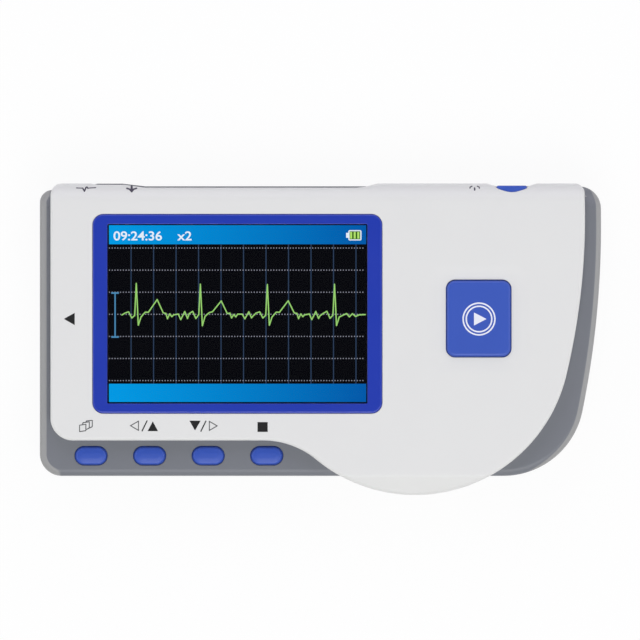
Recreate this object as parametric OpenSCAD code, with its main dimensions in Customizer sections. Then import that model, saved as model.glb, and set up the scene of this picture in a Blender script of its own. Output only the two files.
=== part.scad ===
// Handheld heart monitor, lying on its back with the screen up.
// X runs along its length, Y towards the edge with the power button, Z out of the screen.

/* [Body] */
// Length from end to end
body_w = 125; // [121:0.5:135]
// Width, from the tip of the lobe to the top edge
body_h = 69.4; // [68:0.2:76]
// Height of the rear housing, up to the split line
rear_h = 11.2; // [11.1:0.05:11.3]
// Height of the grey deck above the back
deck_z = 15.5; // [15.2:0.1:16]
// Height of the white face above the back
face_z = 19.2; // [19:0.1:20]
// Wall thickness of the shells
wall = 1.8; // [1.4:0.1:2]
// Thickness of the floor and of the battery door
floor_t = 2; // [1.8:0.1:2.2]
// Thickness of the deck plate
deck_t = 1.6; // [1.2:0.1:1.8]
// Thickness of the white face
face_t = 2; // [1.8:0.1:2.2]
// Radius along the edges of the back
rear_edge_r = 2.4; // [1:0.1:2.6]
// Radius along the edge of the grey deck
deck_edge_r = 1.3; // [0.6:0.1:1.5]
// Radius along the edge of the white face
face_edge_r = 0.7; // [0.4:0.1:1]

/* [Outline] */
// Width of the grey strip left of the cover
end_strip = 2.4; // [1.5:0.1:3]
// Width of the grey strip right of the cover, where it is narrowest
grip_strip = 3.62; // [3:0.02:4.5]
// How far the cover's top edge overhangs the grey housing
top_overhang = 0.65; // [0.4:0.05:1]
// How far the lobe reaches below the grey housing
chin_depth = 4.25; // [3:0.05:5]
// How far the lobe reaches below the cover's straight lower edge
lobe_drop = 12.15; // [11.6:0.05:13]
// Radius of the lobe
lobe_r = 34.6; // [32:0.1:36]
// Radius of the hollow curve between the lower edge and the lobe
sweep_r = 18.5; // [14:0.5:22]
// Radius of the cover's right side
side_r = 150; // [130:1:180]
// Radius of the cover's lower left corner
cover_corner_r = 5; // [4:0.1:6]
// Radius of the cover's upper left corner
cover_top_r = 2.6; // [2:0.1:4]
// Radius of the cover's upper right corner
cover_tip_r = 2.2; // [1:0.1:2.5]
// Radius of the grip's side
grip_r = 205; // [180:1:240]
// Radius of the grip's lower corner
heel_r = 18; // [14:0.5:20]
// Radius of the grey corners at the lower left and the upper right
grey_corner_r = 4.9; // [4:0.1:6]
// Radius of the roll along the cover's top edge
roll_r = 4.1; // [3:0.1:4.5]

/* [Screen] */
// Corner radius of the screen frame
frame_r = 2.5; // [1:0.1:4]
// Distance from the left end to the screen frame
frame_from_end = 11.7; // [11.4:0.1:12.5]
// Distance from the screen frame to the right end
frame_to_end = 48.7; // [47:0.1:52]
// Distance from the top edge to the screen frame
frame_from_top = 6.8; // [6.6:0.1:7.2]
// Height of the strip with the keys' marks, below the screen frame
label_strip = 5.95; // [5.5:0.05:7]
// Width of the blue border left and right of the picture
bezel_w = 3.55; // [3:0.05:4.5]
// Height of the blue border above and below the picture
bezel_h = 2.475; // [2.3:0.025:3.5]
// How far the screen frame stands above the face
frame_proud = 0.15; // [0.05:0.05:0.5]
// Thickness of the clear window
lens_t = 0.9; // [0.6:0.1:1]
// Thickness of the display glass
panel_t = 1.4; // [1:0.1:1.5]
// Thickness of the backlight tray
tray_t = 1.2; // [0.8:0.1:1.3]

/* [Keys] */
// Width of a soft key's hole
key_w = 7.4; // [6:0.1:8]
// Height of a soft key's hole
key_h = 4.4; // [3.6:0.1:4.6]
// Distance from the left end to the first soft key
key_from_end = 11.4; // [10.8:0.1:12.5]
// How far the last soft key lies right of where the cover's lower edge begins to curve
stop_key_past = 0.78; // [0:0.02:1]
// Distance from the grey lower edge up to the middle of the soft keys
key_from_edge = 4.5; // [4.2:0.1:4.8]
// How far a soft key stands above the deck
key_proud = 0.7; // [0.5:0.1:1]
// Width of the start button's hole
start_w = 14.64; // [12:0.02:16]
// Height of the start button's hole
start_h = 17.36; // [14:0.02:18]
// Corner radius of the start button's hole
start_r = 2.1; // [1:0.1:3]
// Distance from the right end to the middle of the start button
start_from_end = 27.3; // [26:0.1:29]
// Height of the middle of the start button above the middle of the body
start_y = 4.6; // [3:0.1:6]
// Depth of the dish round the start button
dish_depth = 0.45; // [0.3:0.05:0.8]
// Width of the face between the start button and the rim of the dish
dish_margin = 4.35; // [3:0.05:4.5]
// How far the start button stands above the face
start_proud = 0.8; // [0.5:0.1:1]
// How far every button travels
key_travel = 0.4; // [0.2:0.05:0.45]
// Gap round a button in its hole
key_gap = 0.25; // [0.15:0.05:0.35]

/* [Power button] */
// Width of the power button
power_w = 6.8; // [6:0.1:7]
// Height of the power button, over its arched top and bottom
power_h = 6.9; // [6:0.1:7]
// Radius of its arched top and bottom
power_arch_r = 7.85; // [6:0.05:12]
// Radius of its corners
power_corner_r = 0.85; // [0.5:0.05:1.5]
// Distance from the right end to the middle of the power button
power_from_end = 19.9; // [18:0.1:22]
// Height of the power button's axis above the back
power_z = 15; // [14.6:0.1:15.2]
// How far its face lies inside the top edge
power_sunk = 0.5; // [0.3:0.05:0.9]
// Depth of the scoop in the top edge round the power button
scoop_depth = 1; // [0.5:0.05:1.2]
// Radius of that scoop
scoop_r = 16; // [10:0.5:24]

/* [Batteries] */
// Diameter of a battery cell
cell_d = 10.5; // [10.1:0.1:10.5]
// Length of a battery cell with its nub
cell_l = 44.5; // [43:0.1:44.5]
// Length of the battery compartment
bay_l = 49; // [48.5:0.1:50]
// Width of the battery compartment
bay_w = 22.5; // [22:0.1:23]
// Distance from the left end to the battery compartment
bay_from_end = 3; // [2.9:0.1:3.4]
// Distance from the grey lower edge up to the middle of the battery compartment
bay_from_edge = 32.95; // [32.5:0.05:33.5]
// Thickness of the compartment's walls and ceiling
bay_wall = 0.8; // [0.6:0.1:0.9]
// Width of the tongues on the door's sides and end
tongue = 1; // [0.7:0.1:1.2]
// Wire diameter of the battery springs
spring_wire = 0.6; // [0.4:0.05:0.7]
// Curls of each battery spring
spring_curls = 4; // [3:1:6]

/* [Socket and electrodes] */
// Distance from the left end to the middle of the socket
socket_from_end = 16; // [15:0.1:17]
// Width of the socket
socket_w = 7.6; // [6:0.1:8]
// Height of the socket
socket_t = 3.9; // [3:0.1:4.2]
// Length of the left end's electrode
chest_l = 36; // [34:0.5:40]
// Width of the left end's electrode
chest_w = 7; // [5:0.1:7.4]
// Length of a finger electrode
finger_l = 18; // [14:0.5:20]
// Width of a finger electrode
finger_w = 12; // [9:0.5:14]
// Thickness of the electrodes
electrode_t = 0.6; // [0.4:0.1:0.8]

/* [Boards and screws] */
// Height of the main board's underside above the back
board_z = 9.8; // [9.6:0.1:9.9]
// Thickness of the main board
board_t = 1.2; // [1:0.1:1.2]
// Diameter of the housing screws
screw_d = 2.2; // [1.8:0.1:2.4]
// Diameter of the housing screws' heads
screw_head_d = 4.2; // [3.6:0.1:4.4]
// Diameter of the board screws
board_screw_d = 1.6; // [1.2:0.1:1.8]

/* [Hidden] */
$fn = 48;

eps = 0.01;
over = 5;               // how far a cutting shape runs past what it cuts
gap = 0.15;             // clearance between shells, boards and what they go round
fit_gap = 0.05;         // clearance of seated and screwed pieces
min_r = 0.3;            // smallest radius in the corner of an inset outline

left = -body_w / 2;
right = body_w / 2;
top = body_h / 2;
bottom = -body_h / 2;
grey_top = top - top_overhang;
grey_bottom = bottom + chin_depth;
cover_left = left + end_strip;
cover_base = bottom + lobe_drop;
side_y = 27;            // height at which the cover reaches furthest right
grip_y = 25;            // height at which the grip reaches furthest right
side_cx = right - grip_strip - side_r;
lobe_cy = bottom + lobe_r;
lobe_cx = side_cx + sqrt(pow(side_r - lobe_r, 2) - pow(lobe_cy - side_y, 2));
sweep_cy = cover_base - sweep_r;
sweep_cx = lobe_cx - sqrt(pow(lobe_r + sweep_r, 2) - pow(lobe_cy - sweep_cy, 2));
sweep_a = atan2(lobe_cy - sweep_cy, lobe_cx - sweep_cx);
lobe_a = atan2(lobe_cy - side_y, lobe_cx - side_cx);

// Points of an arc round c, from angle a0 to a1 in n steps, leaving out the first skip points
function arc(c, r, a0, a1, n, skip = 0) =
    [for (i = [skip : n]) c + r * [cos(a0 + (a1 - a0) * i / n), sin(a0 + (a1 - a0) * i / n)]];

// Centre of a corner of radius r between a big circle on the left and a line at height y
function tip_centre(cx, cy, big_r, r, y) = [cx + sqrt(pow(big_r - r, 2) - pow(y - cy, 2)), y];

// Outline of the white cover, inset by d
function cover_outline(d) = let(
    corner = max(cover_corner_r - d, min_r),
    crown = max(cover_top_r - d, min_r),
    tip = max(cover_tip_r - d, min_r),
    tip_c = tip_centre(side_cx, side_y, side_r - d, tip, top - d - tip),
    tip_a = atan2(tip_c[1] - side_y, tip_c[0] - side_cx)
) concat(
    arc([cover_left + d + corner, cover_base + d + corner], corner, 180, 270, 8),
    arc([sweep_cx, sweep_cy], sweep_r + d, 90, sweep_a, 10),
    arc([lobe_cx, lobe_cy], lobe_r - d, 180 + sweep_a, 360 + lobe_a, 24, 1),
    arc([side_cx, side_y], side_r - d, lobe_a, tip_a, 8, 1),
    arc(tip_c, tip, tip_a, 90, 5, 1),
    arc([cover_left + d + crown, top - d - crown], crown, 90, 180, 6));

shoulder_r = 2.8;       // radius of the grey corner at the upper left
shoulder_drop = 0.8;    // how far that corner stays below the grey top edge
shoulder_a = 8;         // slope from the top edge down to it

heel_c = tip_centre(right - grip_r, grip_y, grip_r, heel_r, grey_bottom + heel_r);
heel_a = atan2(heel_c[1] - grip_y, heel_c[0] - right + grip_r);

// Outline of the grey housing and deck, inset by d
function grey_outline(d) = let(
    corner = max(grey_corner_r - d, min_r),
    shoulder = max(shoulder_r - d, min_r),
    tip_c = tip_centre(right - grip_r, grip_y, grip_r - d, corner, grey_top - d - corner),
    tip_a = atan2(tip_c[1] - grip_y, tip_c[0] - right + grip_r),
    shoulder_c = [left + d + shoulder, grey_top - shoulder_drop - d - shoulder],
    slope_end = shoulder_c + shoulder * [cos(90 + shoulder_a), sin(90 + shoulder_a)],
    slope_start = slope_end + (grey_top - d - slope_end[1]) * [1 / tan(shoulder_a), 1]
) concat(
    arc([left + d + corner, grey_bottom + d + corner], corner, 180, 270, 8),
    arc(heel_c, heel_r - d, 270, 360 + heel_a, 14),
    arc([right - grip_r, grip_y], grip_r - d, heel_a, tip_a, 8, 1),
    arc(tip_c, corner, tip_a, 90, 8, 1),
    [slope_start],
    arc(shoulder_c, shoulder, 90 + shoulder_a, 180, 6));

// Outline of a rounded rectangle round the origin, inset by d
function rounded(w, h, r, d = 0) = let(c = max(r - d, 0.05), x = w / 2 - d - c, y = h / 2 - d - c)
    concat(arc([x, y], c, 0, 90, 6), arc([-x, y], c, 90, 180, 6),
        arc([-x, -y], c, 180, 270, 6), arc([x, -y], c, 270, 360, 6));

// Outline of a key with round ends, inset by d
function stadium(w, h, d = 0) = let(x = (w - h) / 2, r = h / 2 - d)
    concat(arc([x, 0], r, -90, 90, 12), arc([-x, 0], r, 90, 270, 12));

// Outline with straight sides and an arched top and bottom, of arch radius big_r, inset by d
function arched(w, h, r, big_r, d = 0) = let(
    c = r - d,
    big = big_r - d,
    x = w / 2 - r,
    arch_y = h / 2 - big_r,
    y = arch_y + sqrt(pow(big_r - r, 2) - x * x),
    a = atan2(y - arch_y, x)
) concat(arc([x, y], c, 0, a, 5), arc([0, arch_y], big, a, 180 - a, 10, 1), arc([-x, y], c, 180 - a, 180, 5, 1),
    arc([-x, -y], c, 180, 180 + a, 5), arc([0, -arch_y], big, 180 + a, 360 - a, 10, 1),
    arc([x, -y], c, 360 - a, 360, 5, 1));

// Closed solid through an outline's rings, each given as [inset, height], from the bottom up
module slab(outline, rings) {
    count = len(outline(0));
    last = len(rings) - 1;
    points = [for (ring = rings) each [for (p = outline(ring[0])) [p[0], p[1], ring[1]]]];
    sides = [for (k = [0 : last - 1]) each [for (i = [0 : count - 1]) let(j = (i + 1) % count)
        [k * count + i, (k + 1) * count + i, (k + 1) * count + j, k * count + j]]];
    polyhedron(points, concat([[for (i = [0 : count - 1]) i]], sides,
        [[for (i = [count - 1 : -1 : 0]) last * count + i]]), convexity = 6);
}

// Rings of a quarter round: out from the bottom face, or in to the top face
function foot_rings(r, z, n) =
    [for (i = [0 : n]) [r * (1 - sin(90 * i / n)), z + r * (1 - cos(90 * i / n))]];
function crown_rings(r, z, n) =
    [for (i = [0 : n]) [r * (1 - cos(90 * i / n)), z - r * (1 - sin(90 * i / n))]];

// Straight prism of an outline between two heights
module prism(points, z0, z1) {
    translate([0, 0, z0]) linear_extrude(z1 - z0) polygon(points);
}

// Box between two corners
module block(low, high) {
    translate(low) cube(high - low);
}

// Cylinder along Z between two heights
module rod(p, d, z0, z1) {
    translate([p[0], p[1], z0]) cylinder(d = d, h = z1 - z0);
}

// Prism of an outline drawn round the power button's axis, between two places along Y
module into_top_edge(points, y0, y1) {
    translate([power_x, y1, power_z]) rotate([90, 0, 0]) linear_extrude(y1 - y0) polygon(points);
}

// Cylinder along Y between two places
module rod_y(x, z, d, y0, y1) {
    translate([x, y0, z]) rotate([-90, 0, 0]) cylinder(d = d, h = y1 - y0);
}

// What lies outside a quarter round along the top edge, to be cut away
module edge_roll(y0, z0, ry, rz) {
    arc_points = [for (i = [0 : 10]) [y0 + ry * sin(9 * i), z0 + rz * cos(9 * i)]];
    outside = concat(arc_points,
        [[y0 + ry + over, z0], [y0 + ry + over, z0 + rz + over], [y0, z0 + rz + over]]);
    translate([left - over, 0, 0]) rotate([90, 0, 90]) linear_extrude(body_w + 2 * over)
        polygon(outside);
}

ceiling_z = face_z - face_t;
deck_under_z = deck_z - deck_t;
board_top = board_z + board_t;
cover_wall_t = wall + 0.2;             // the cover's top wall is a little thicker
ledge = wall + 1.6;                    // width of the deck's ledge under the cover
skirt_y = top - cover_wall_t;          // inner face of the cover's top wall
notch_y = top - ledge - eps;           // where the middle frame ends, clear of that wall

frame_w = body_w - frame_from_end - frame_to_end;
frame_h = body_h - frame_from_top - label_strip - lobe_drop;
frame_c = [left + frame_from_end + frame_w / 2, top - frame_from_top - frame_h / 2];
picture_w = frame_w - 2 * bezel_w;
picture_h = frame_h - 2 * bezel_h;
start_c = [right - start_from_end, start_y];
key_count = 4;
key_x = left + key_from_end;
key_y = grey_bottom + key_from_edge;
key_pitch = (sweep_cx + stop_key_past - key_x) / (key_count - 1);
function key_c(i) = [key_x + i * key_pitch, key_y];
power_x = right - power_from_end;
socket_x = left + socket_from_end;

// Screws: two beside the screen, one by the power button and one in the lobe
screw_in = 6.3;
screw_drop = 7.5;
base_screw_rise = 6.65;
grip_screw_in = 10.5;
grip_screw_drop = 7.2;
lobe_screw_in = 22.5;
lobe_screw_rise = 10.95;
screw_places = [[cover_left + screw_in, top - screw_drop],
    [cover_left + screw_in, cover_base + base_screw_rise],
    [right - grip_screw_in, top - grip_screw_drop],
    [right - lobe_screw_in, grey_bottom + lobe_screw_rise]];

// Posts that carry the board: above and below the batteries, under the lobe's start and by the grip
upper_post_in = 34.5;
upper_post_drop = 8.2;
lower_post_in = 31;
lower_post_rise = 5.9;
lobe_post_in = 74.5;
lobe_post_rise = 4.4;
grip_post_in = 11.5;
grip_post_drop = 26.7;
post_places = [[left + upper_post_in, top - upper_post_drop],
    [left + lower_post_in, cover_base + lower_post_rise],
    [left + lobe_post_in, cover_base + lobe_post_rise],
    [right - grip_post_in, top - grip_post_drop]];
boss_d = 7;
post_d = 4.4;
head_seat_z = 6;                       // the screws' heads bear on this height

// Battery bay
bay_y = grey_bottom + bay_from_edge;
bay_x0 = left + bay_from_end;
bay_x1 = bay_x0 + bay_l;
bay_z0 = floor_t + 0.1;
bay_top = bay_z0 + cell_d + 0.2;
door_step = floor_t / 2;               // height of the tongues above the back
rail_t = 1.35;                         // what is left of the walls beside the door's tongues
bay_side = bay_w / 2 + tongue + rail_t;
bay_end = bay_x1 + tongue + rail_t + fit_gap;
cell_z = bay_z0 + cell_d / 2 + 0.05;
cell_pitch = (bay_w + cell_d - 0.5) / 3;
plate_t = 0.3;

// ---- Grey shells

module rear_housing() {
    color([0.48, 0.50, 0.53]) difference() {
        union() {
            difference() {
                union() {
                    slab(function(d) grey_outline(d),
                        concat(foot_rings(rear_edge_r, 0, 5), [[0, rear_h]]));
                    socket_hump();
                }
                prism(grey_outline(wall), floor_t, rear_h + over);
            }
            block([left + wall / 2, bay_y - bay_side, floor_t - eps], [bay_end, bay_y + bay_side, rear_h]);
            block([left + wall + gap, bay_y - bay_side, rear_h - 1],
                [bay_end, bay_y + bay_side, bay_top + bay_wall]);
            for (p = screw_places) rod(p, boss_d, floor_t - eps, rear_h);
            for (p = post_places) rod(p, post_d, floor_t - eps, board_z);
        }
        block([bay_x0, bay_y - bay_w / 2, bay_z0 - eps], [bay_x1, bay_y + bay_w / 2, bay_top]);
        block([left - over, bay_y - bay_w / 2 - fit_gap, -over],
            [bay_x1 + fit_gap, bay_y + bay_w / 2 + fit_gap, door_step]);
        block([left - over, bay_y - bay_w / 2 - tongue - gap, door_step - 0.05],
            [bay_x1 + tongue + gap, bay_y + bay_w / 2 + tongue + gap, bay_z0]);
        for (p = screw_places) {
            rod(p, screw_head_d + 0.3, -over, head_seat_z);
            rod(p, screw_d + 2 * gap, 0, rear_h + over);
        }
        for (p = post_places) rod(p, board_screw_d + 2 * fit_gap, 4, board_z + over);
        translate([socket_x, 0, board_z - socket_t / 2]) rotate([90, 0, 0])
            translate([0, 0, -top - over]) linear_extrude(over + 4)
                polygon(rounded(socket_w + 2 * gap, socket_t + 2 * gap, 0.8));
        chest_recess();
        for (p = finger_places) translate(p)
            prism(rounded(finger_w + 2 * fit_gap, finger_l + 2 * fit_gap, 2.5), -over, electrode_t + fit_gap);
        for (p = finger_places) rod(p, stud_d + 2 * fit_gap, 0, floor_t + over);
    }
}

// The housing's edge swells a little where the socket comes through
module socket_hump() {
    left_foot = -hump_left - hump_slope;
    right_foot = hump_right + hump_fall;
    hump = [[left_foot, -1], [left_foot, 0], [-hump_left, hump_rise], [hump_right, hump_rise],
        [right_foot, 0], [right_foot, -1]];
    translate([socket_x, grey_top, rear_edge_r + 0.4]) linear_extrude(rear_h - rear_edge_r - 0.4)
        polygon(hump);
}

groove_count = 6;
groove_pitch = 1.8;
groove_w = 0.9;
groove_l = 12;
groove_depth = 0.35;
groove_x = left + 8;    // the first of the grooves for the thumb

module battery_door() {
    color([0.48, 0.50, 0.53]) difference() {
        intersection() {
            slab(function(d) grey_outline(d), concat(foot_rings(rear_edge_r, 0, 5), [[0, rear_h]]));
            union() {
                block([left - over, bay_y - bay_w / 2 + gap, -over],
                    [bay_x1 - gap, bay_y + bay_w / 2 - gap, door_step + eps]);
                block([left - over, bay_y - bay_w / 2 - tongue, door_step + 0.05],
                    [bay_x1 + tongue, bay_y + bay_w / 2 + tongue, floor_t]);
                block([left - over, bay_y - bay_w / 2 + gap, door_step],
                    [bay_x1 - gap, bay_y + bay_w / 2 - gap, floor_t]);
            }
        }
        for (i = [0 : groove_count - 1]) translate([groove_x + i * groove_pitch, bay_y - groove_l / 2, 0])
            block([0, 0, -over], [groove_w, groove_l, groove_depth]);
    }
}

module middle_frame() {
    color([0.48, 0.51, 0.55]) difference() {
        slab(function(d) grey_outline(d),
            concat([[0, rear_h]], crown_rings(deck_edge_r, deck_z, 5)));
        edge_roll(grey_top - grey_corner_r, rear_h, grey_corner_r, deck_z - rear_h);
        prism(grey_outline(wall), rear_h - over, deck_under_z);
        intersection() {
            prism(cover_outline(ledge), rear_h - over, deck_z + over);
            block([left, grey_bottom + wall, 0], [right, top, face_z + over]);
        }
        intersection() {
            prism(cover_outline(-fit_gap), rear_h - over, deck_z + over);
            block([left - over, notch_y, rear_h - over], [right + over, top + over, deck_z + over]);
        }
        for (i = [0 : key_count - 1]) translate(key_c(i)) prism(stadium(key_w, key_h), rear_h, deck_z + over);
    }
}

// ---- White cover

lobe_drop_z = 2.4;      // how far the lobe's face falls towards its tip
chin_z = 6.5;           // height of the lobe's underside above the back
pocket_z = face_z - 1.4;

module front_cover() {
    color([0.9, 0.9, 0.91]) difference() {
        union() {
            difference() {
                slab(function(d) cover_outline(d),
                    concat(foot_rings(chin_depth, chin_z, 5), crown_rings(face_edge_r, face_z, 4)));
                block([left, grey_bottom - fit_gap, 0], [right, notch_y + 0.3, deck_z]);
                block([left, notch_y, 0], [right, top + over, rear_h]);
                intersection() {
                    prism(cover_outline(wall), rear_h - over, ceiling_z);
                    block([left, grey_bottom + 0.6, 0], [right, skirt_y, face_z]);
                }
            }
            for (p = screw_places) rod(p, screw_head_d + 0.8, rear_h, ceiling_z + 0.5);
        }
        for (p = screw_places) rod(p, screw_d + 2 * fit_gap, rear_h - over, ceiling_z - 0.5);
        edge_roll(top - roll_r, face_z - roll_r, roll_r, roll_r);
        lobe_slope();
        translate([frame_c[0], frame_c[1], 0]) {
            prism(rounded(frame_w, frame_h, frame_r), pocket_z, face_z + over);
            prism(rounded(picture_w + 1, picture_h + 1, 0.8), ceiling_z - over, face_z);
        }
        translate(start_c) {
            prism(rounded(start_w, start_h, start_r), ceiling_z - over, face_z + over);
            slab(function(d) rounded(start_w + 2 * dish_margin, start_h + 1.6 * dish_margin, 4, d),
                [[1.5, face_z - dish_depth], [0.9, face_z - 0.8 * dish_depth],
                 [0.4, face_z - 0.2 * dish_depth], [0, face_z], [-0.01, face_z + 1]]);
        }
        into_top_edge(arched(power_w, power_h, power_corner_r, power_arch_r, -gap),
            power_plate_y - 1.2, top + over);
        rod([power_x, top - scoop_depth + scoop_r], 2 * scoop_r, rear_h - over, face_z + over);
        prism(top_recess, rear_h - over, face_z + over);
    }
}

// Shallow recess in the top edge above the socket and the screen
hump_left = 3.1;        // how far the swelling's flat top reaches left of the socket's middle
hump_right = 2.4;       // and right of it
hump_slope = 4;         // length of the slope on its left side
hump_fall = 5.1;        // and on its right side
hump_rise = 0.6;        // how far the grey edge swells there
recess_y = top - 0.95;
step_y = top - 0.3;
recess_in = 5.8;        // how far the recess ends short of the screen frame's right side
recess_end = frame_c[0] + frame_w / 2 - recess_in;
top_recess = [[socket_x - hump_left, top + 1], [socket_x - hump_left, step_y],
    [socket_x + hump_right, step_y], [socket_x + hump_right + hump_fall, recess_y],
    [recess_end, recess_y], [recess_end + 2, recess_y + 0.2], [recess_end + 4, top - 0.25],
    [recess_end + 5.5, top + 1]];

// The lobe's face falls away beyond a soft fold in line with the grey lower edge
module lobe_slope() {
    fall = [[grey_bottom, face_z], [bottom - eps, face_z - lobe_drop_z],
        [bottom - over, face_z - lobe_drop_z - over], [bottom - over, face_z + over],
        [grey_bottom, face_z + over]];
    translate([left, 0, 0]) rotate([90, 0, 90]) linear_extrude(body_w) polygon(fall);
}

// ---- Screen

lens_margin = 1.3;      // how far the clear window reaches under the frame's lip
lens_z = pocket_z;

module screen_frame() {
    color([0.16, 0.24, 0.66]) translate(frame_c) difference() {
        slab(function(d) rounded(frame_w, frame_h, frame_r, d + fit_gap),
            concat([[0, pocket_z]], crown_rings(0.4, face_z + frame_proud, 3)));
        prism(rounded(picture_w + 0.4, picture_h + 0.4, 0.2), pocket_z - over, face_z + over);
        prism(rounded(picture_w + 2 * lens_margin, picture_h + 2 * lens_margin, 0.8),
            pocket_z - over, lens_z + lens_t);
    }
}

module screen_lens() {
    color([0.75, 0.85, 0.95, 0.4]) translate(frame_c)
        prism(rounded(picture_w + 2 * lens_margin - 0.1, picture_h + 2 * lens_margin - 0.1, 0.75),
            lens_z, lens_z + lens_t);
}

gasket_t = 0.6;
panel_z = ceiling_z - gasket_t - panel_t;
tray_z = panel_z - tray_t;
panel_w = picture_w + 4;
panel_h = picture_h + 5.8;
panel_c = frame_c - [0, 1.1];

module lcd_gasket() {
    color([0.12, 0.12, 0.13]) difference() {
        translate(panel_c) prism(rounded(panel_w - 1, panel_h - 1, 0.5), ceiling_z - gasket_t, ceiling_z);
        translate(frame_c) prism(rounded(picture_w + 1, picture_h + 1, 0.5), 0, face_z);
    }
}

module lcd_panel() {
    color([0.05, 0.05, 0.07]) translate(panel_c)
        prism(rounded(panel_w, panel_h, 0.5), panel_z, panel_z + panel_t);
}

module lcd_tray() {
    color([0.75, 0.76, 0.78]) translate(panel_c)
        prism(rounded(panel_w + 1, panel_h + 1, 0.6), tray_z, panel_z);
}

flex_t = 0.15;
flex_w = 14;
connector_h = 1.2;
flex_from_post = 10;    // distance from the post beside the ribbon to its middle
flex_x = left + lower_post_in + flex_from_post;
flex_y = panel_c[1] - panel_h / 2 + 1;

module lcd_flex() {
    flex_top = tray_z - 0.02;
    flex_low = board_top + 0.6;
    bend_r = (flex_top - flex_low) / 2;
    bend_c = [flex_y, flex_low + bend_r];
    ribbon = concat([[flex_y + 3.4, flex_top]], arc(bend_c, bend_r, 90, 270, 12), [[flex_y + 2, flex_low]],
        [[flex_y + 2, flex_low + flex_t]], arc(bend_c, bend_r - flex_t, 270, 90, 12),
        [[flex_y + 3.4, flex_top - flex_t]]);
    color([0.85, 0.55, 0.15]) translate([flex_x - flex_w / 2, 0, 0]) rotate([90, 0, 90])
        linear_extrude(flex_w) polygon(ribbon);
}

module lcd_connector() {
    color([0.92, 0.9, 0.84]) block([flex_x - flex_w / 2 - 1, flex_y + 2, board_top],
        [flex_x + flex_w / 2 + 1, flex_y + 5, board_top + connector_h]);
}

// ---- Buttons

switch_h = 1.5;
switch_w = 3.4;
stem_d = 1.7;
stem_out = 0.6;         // how far a switch's plunger stands out
stem_l = 1.5;
side_stem_l = 2.2;      // length of the power switch's plunger
side_switch_w = 4.8;
side_switch_rise = 1.7; // how far the power switch reaches above its plunger's axis
stem_top = board_top + switch_h + stem_out;
key_lip = 0.5;          // how far a soft key's flange reaches past its hole
start_lip = 1.2;        // the same of the start button's flange, and its thickness
start_stem_w = 4;
blue = [0.2, 0.32, 0.7];

// A soft key: cap through the deck, flange under it
module soft_key(i) {
    flange_top = deck_under_z - 0.1;
    color(blue) translate(key_c(i)) {
        slab(function(d) stadium(key_w - 2 * key_gap, key_h - 2 * key_gap, d),
            concat([[0, flange_top - eps]], crown_rings(0.5, deck_z + key_proud, 4)));
        prism(stadium(key_w + 2 * key_lip, key_h + 2 * key_lip), stem_top, flange_top);
    }
}

module start_button() {
    flange_top = ceiling_z - 0.1;
    color(blue) translate(start_c) {
        slab(function(d) rounded(start_w - 2 * key_gap, start_h - 2 * key_gap, start_r - key_gap, d),
            concat([[0, flange_top - eps]], crown_rings(0.6, face_z + start_proud, 4)));
        prism(rounded(start_w + 2 * start_lip, start_h + 2 * start_lip, start_r),
            flange_top - start_lip, flange_top);
        prism(rounded(start_stem_w, start_stem_w, 0.5), stem_top, flange_top - start_lip + eps);
    }
}

power_plate_y = skirt_y - 0.3;         // the plate behind the power button's cap
power_plate_t = 1;
power_plate_w = 10.6;
power_plate_drop = 2.8; // how far the plate reaches below the button's axis
power_taper = 0.4;      // the cap's rim is bevelled by this much
power_stem_y = power_plate_y - power_plate_t;

module power_button() {
    cap_l = top - power_sunk - power_plate_y + eps;
    color(blue) {
        translate([power_x, power_plate_y - eps, power_z]) rotate([-90, 0, 0])
            slab(function(d) arched(power_w, power_h, power_corner_r, power_arch_r, d),
                [[0, 0], [0, cap_l - power_taper], [power_taper, cap_l]]);
        block([power_x - power_plate_w / 2, power_stem_y, power_z - power_plate_drop],
            [power_x + power_plate_w / 2, power_plate_y, ceiling_z - 2 * gap]);
    }
}

// The plunger of a tact switch, under the button that presses it
module actuator(p) {
    color([0.1, 0.1, 0.11]) rod(p, stem_d, stem_top - stem_l, stem_top);
}

module power_actuator() {
    color([0.1, 0.1, 0.11]) rod_y(power_x, power_z, stem_d, power_stem_y - side_stem_l, power_stem_y);
}

// The body of a tact switch, with room for its plunger
module tact_switch(p) {
    difference() {
        block([p[0] - switch_w / 2, p[1] - switch_w / 2, board_top],
            [p[0] + switch_w / 2, p[1] + switch_w / 2, board_top + switch_h]);
        rod(p, stem_d + 2 * gap, stem_top - stem_l - key_travel - 0.1, board_top + switch_h + over);
    }
}

module start_switch() {
    color([0.78, 0.79, 0.8]) tact_switch(start_c);
}

module soft_key_switches() {
    color([0.78, 0.79, 0.8]) for (i = [0 : key_count - 1]) tact_switch(key_c(i));
}

module power_switch() {
    face_y = power_stem_y - stem_out;
    color([0.78, 0.79, 0.8]) difference() {
        block([power_x - side_switch_w / 2, face_y - switch_w, board_top],
            [power_x + side_switch_w / 2, face_y, power_z + side_switch_rise]);
        rod_y(power_x, power_z, stem_d + 2 * gap, power_stem_y - side_stem_l - key_travel - 0.1, face_y + over);
    }
}

// ---- Board and what it carries

module main_board() {
    color([0.1, 0.35, 0.2]) difference() {
        prism(grey_outline(wall + 0.5), board_z, board_top);
        block([left, bay_y - bay_side - gap, 0], [bay_end + gap, bay_y + bay_side + gap, face_z]);
        for (p = screw_places) rod(p, boss_d + 2 * gap, board_z - over, board_top + over);
        for (p = post_places) rod(p, board_screw_d + 2 * fit_gap, board_z - over, board_top + over);
    }
}

module chip(x, y, w, h, t) {
    block([x - w / 2, y - h / 2, board_top], [x + w / 2, y + h / 2, board_top + t]);
}

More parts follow.
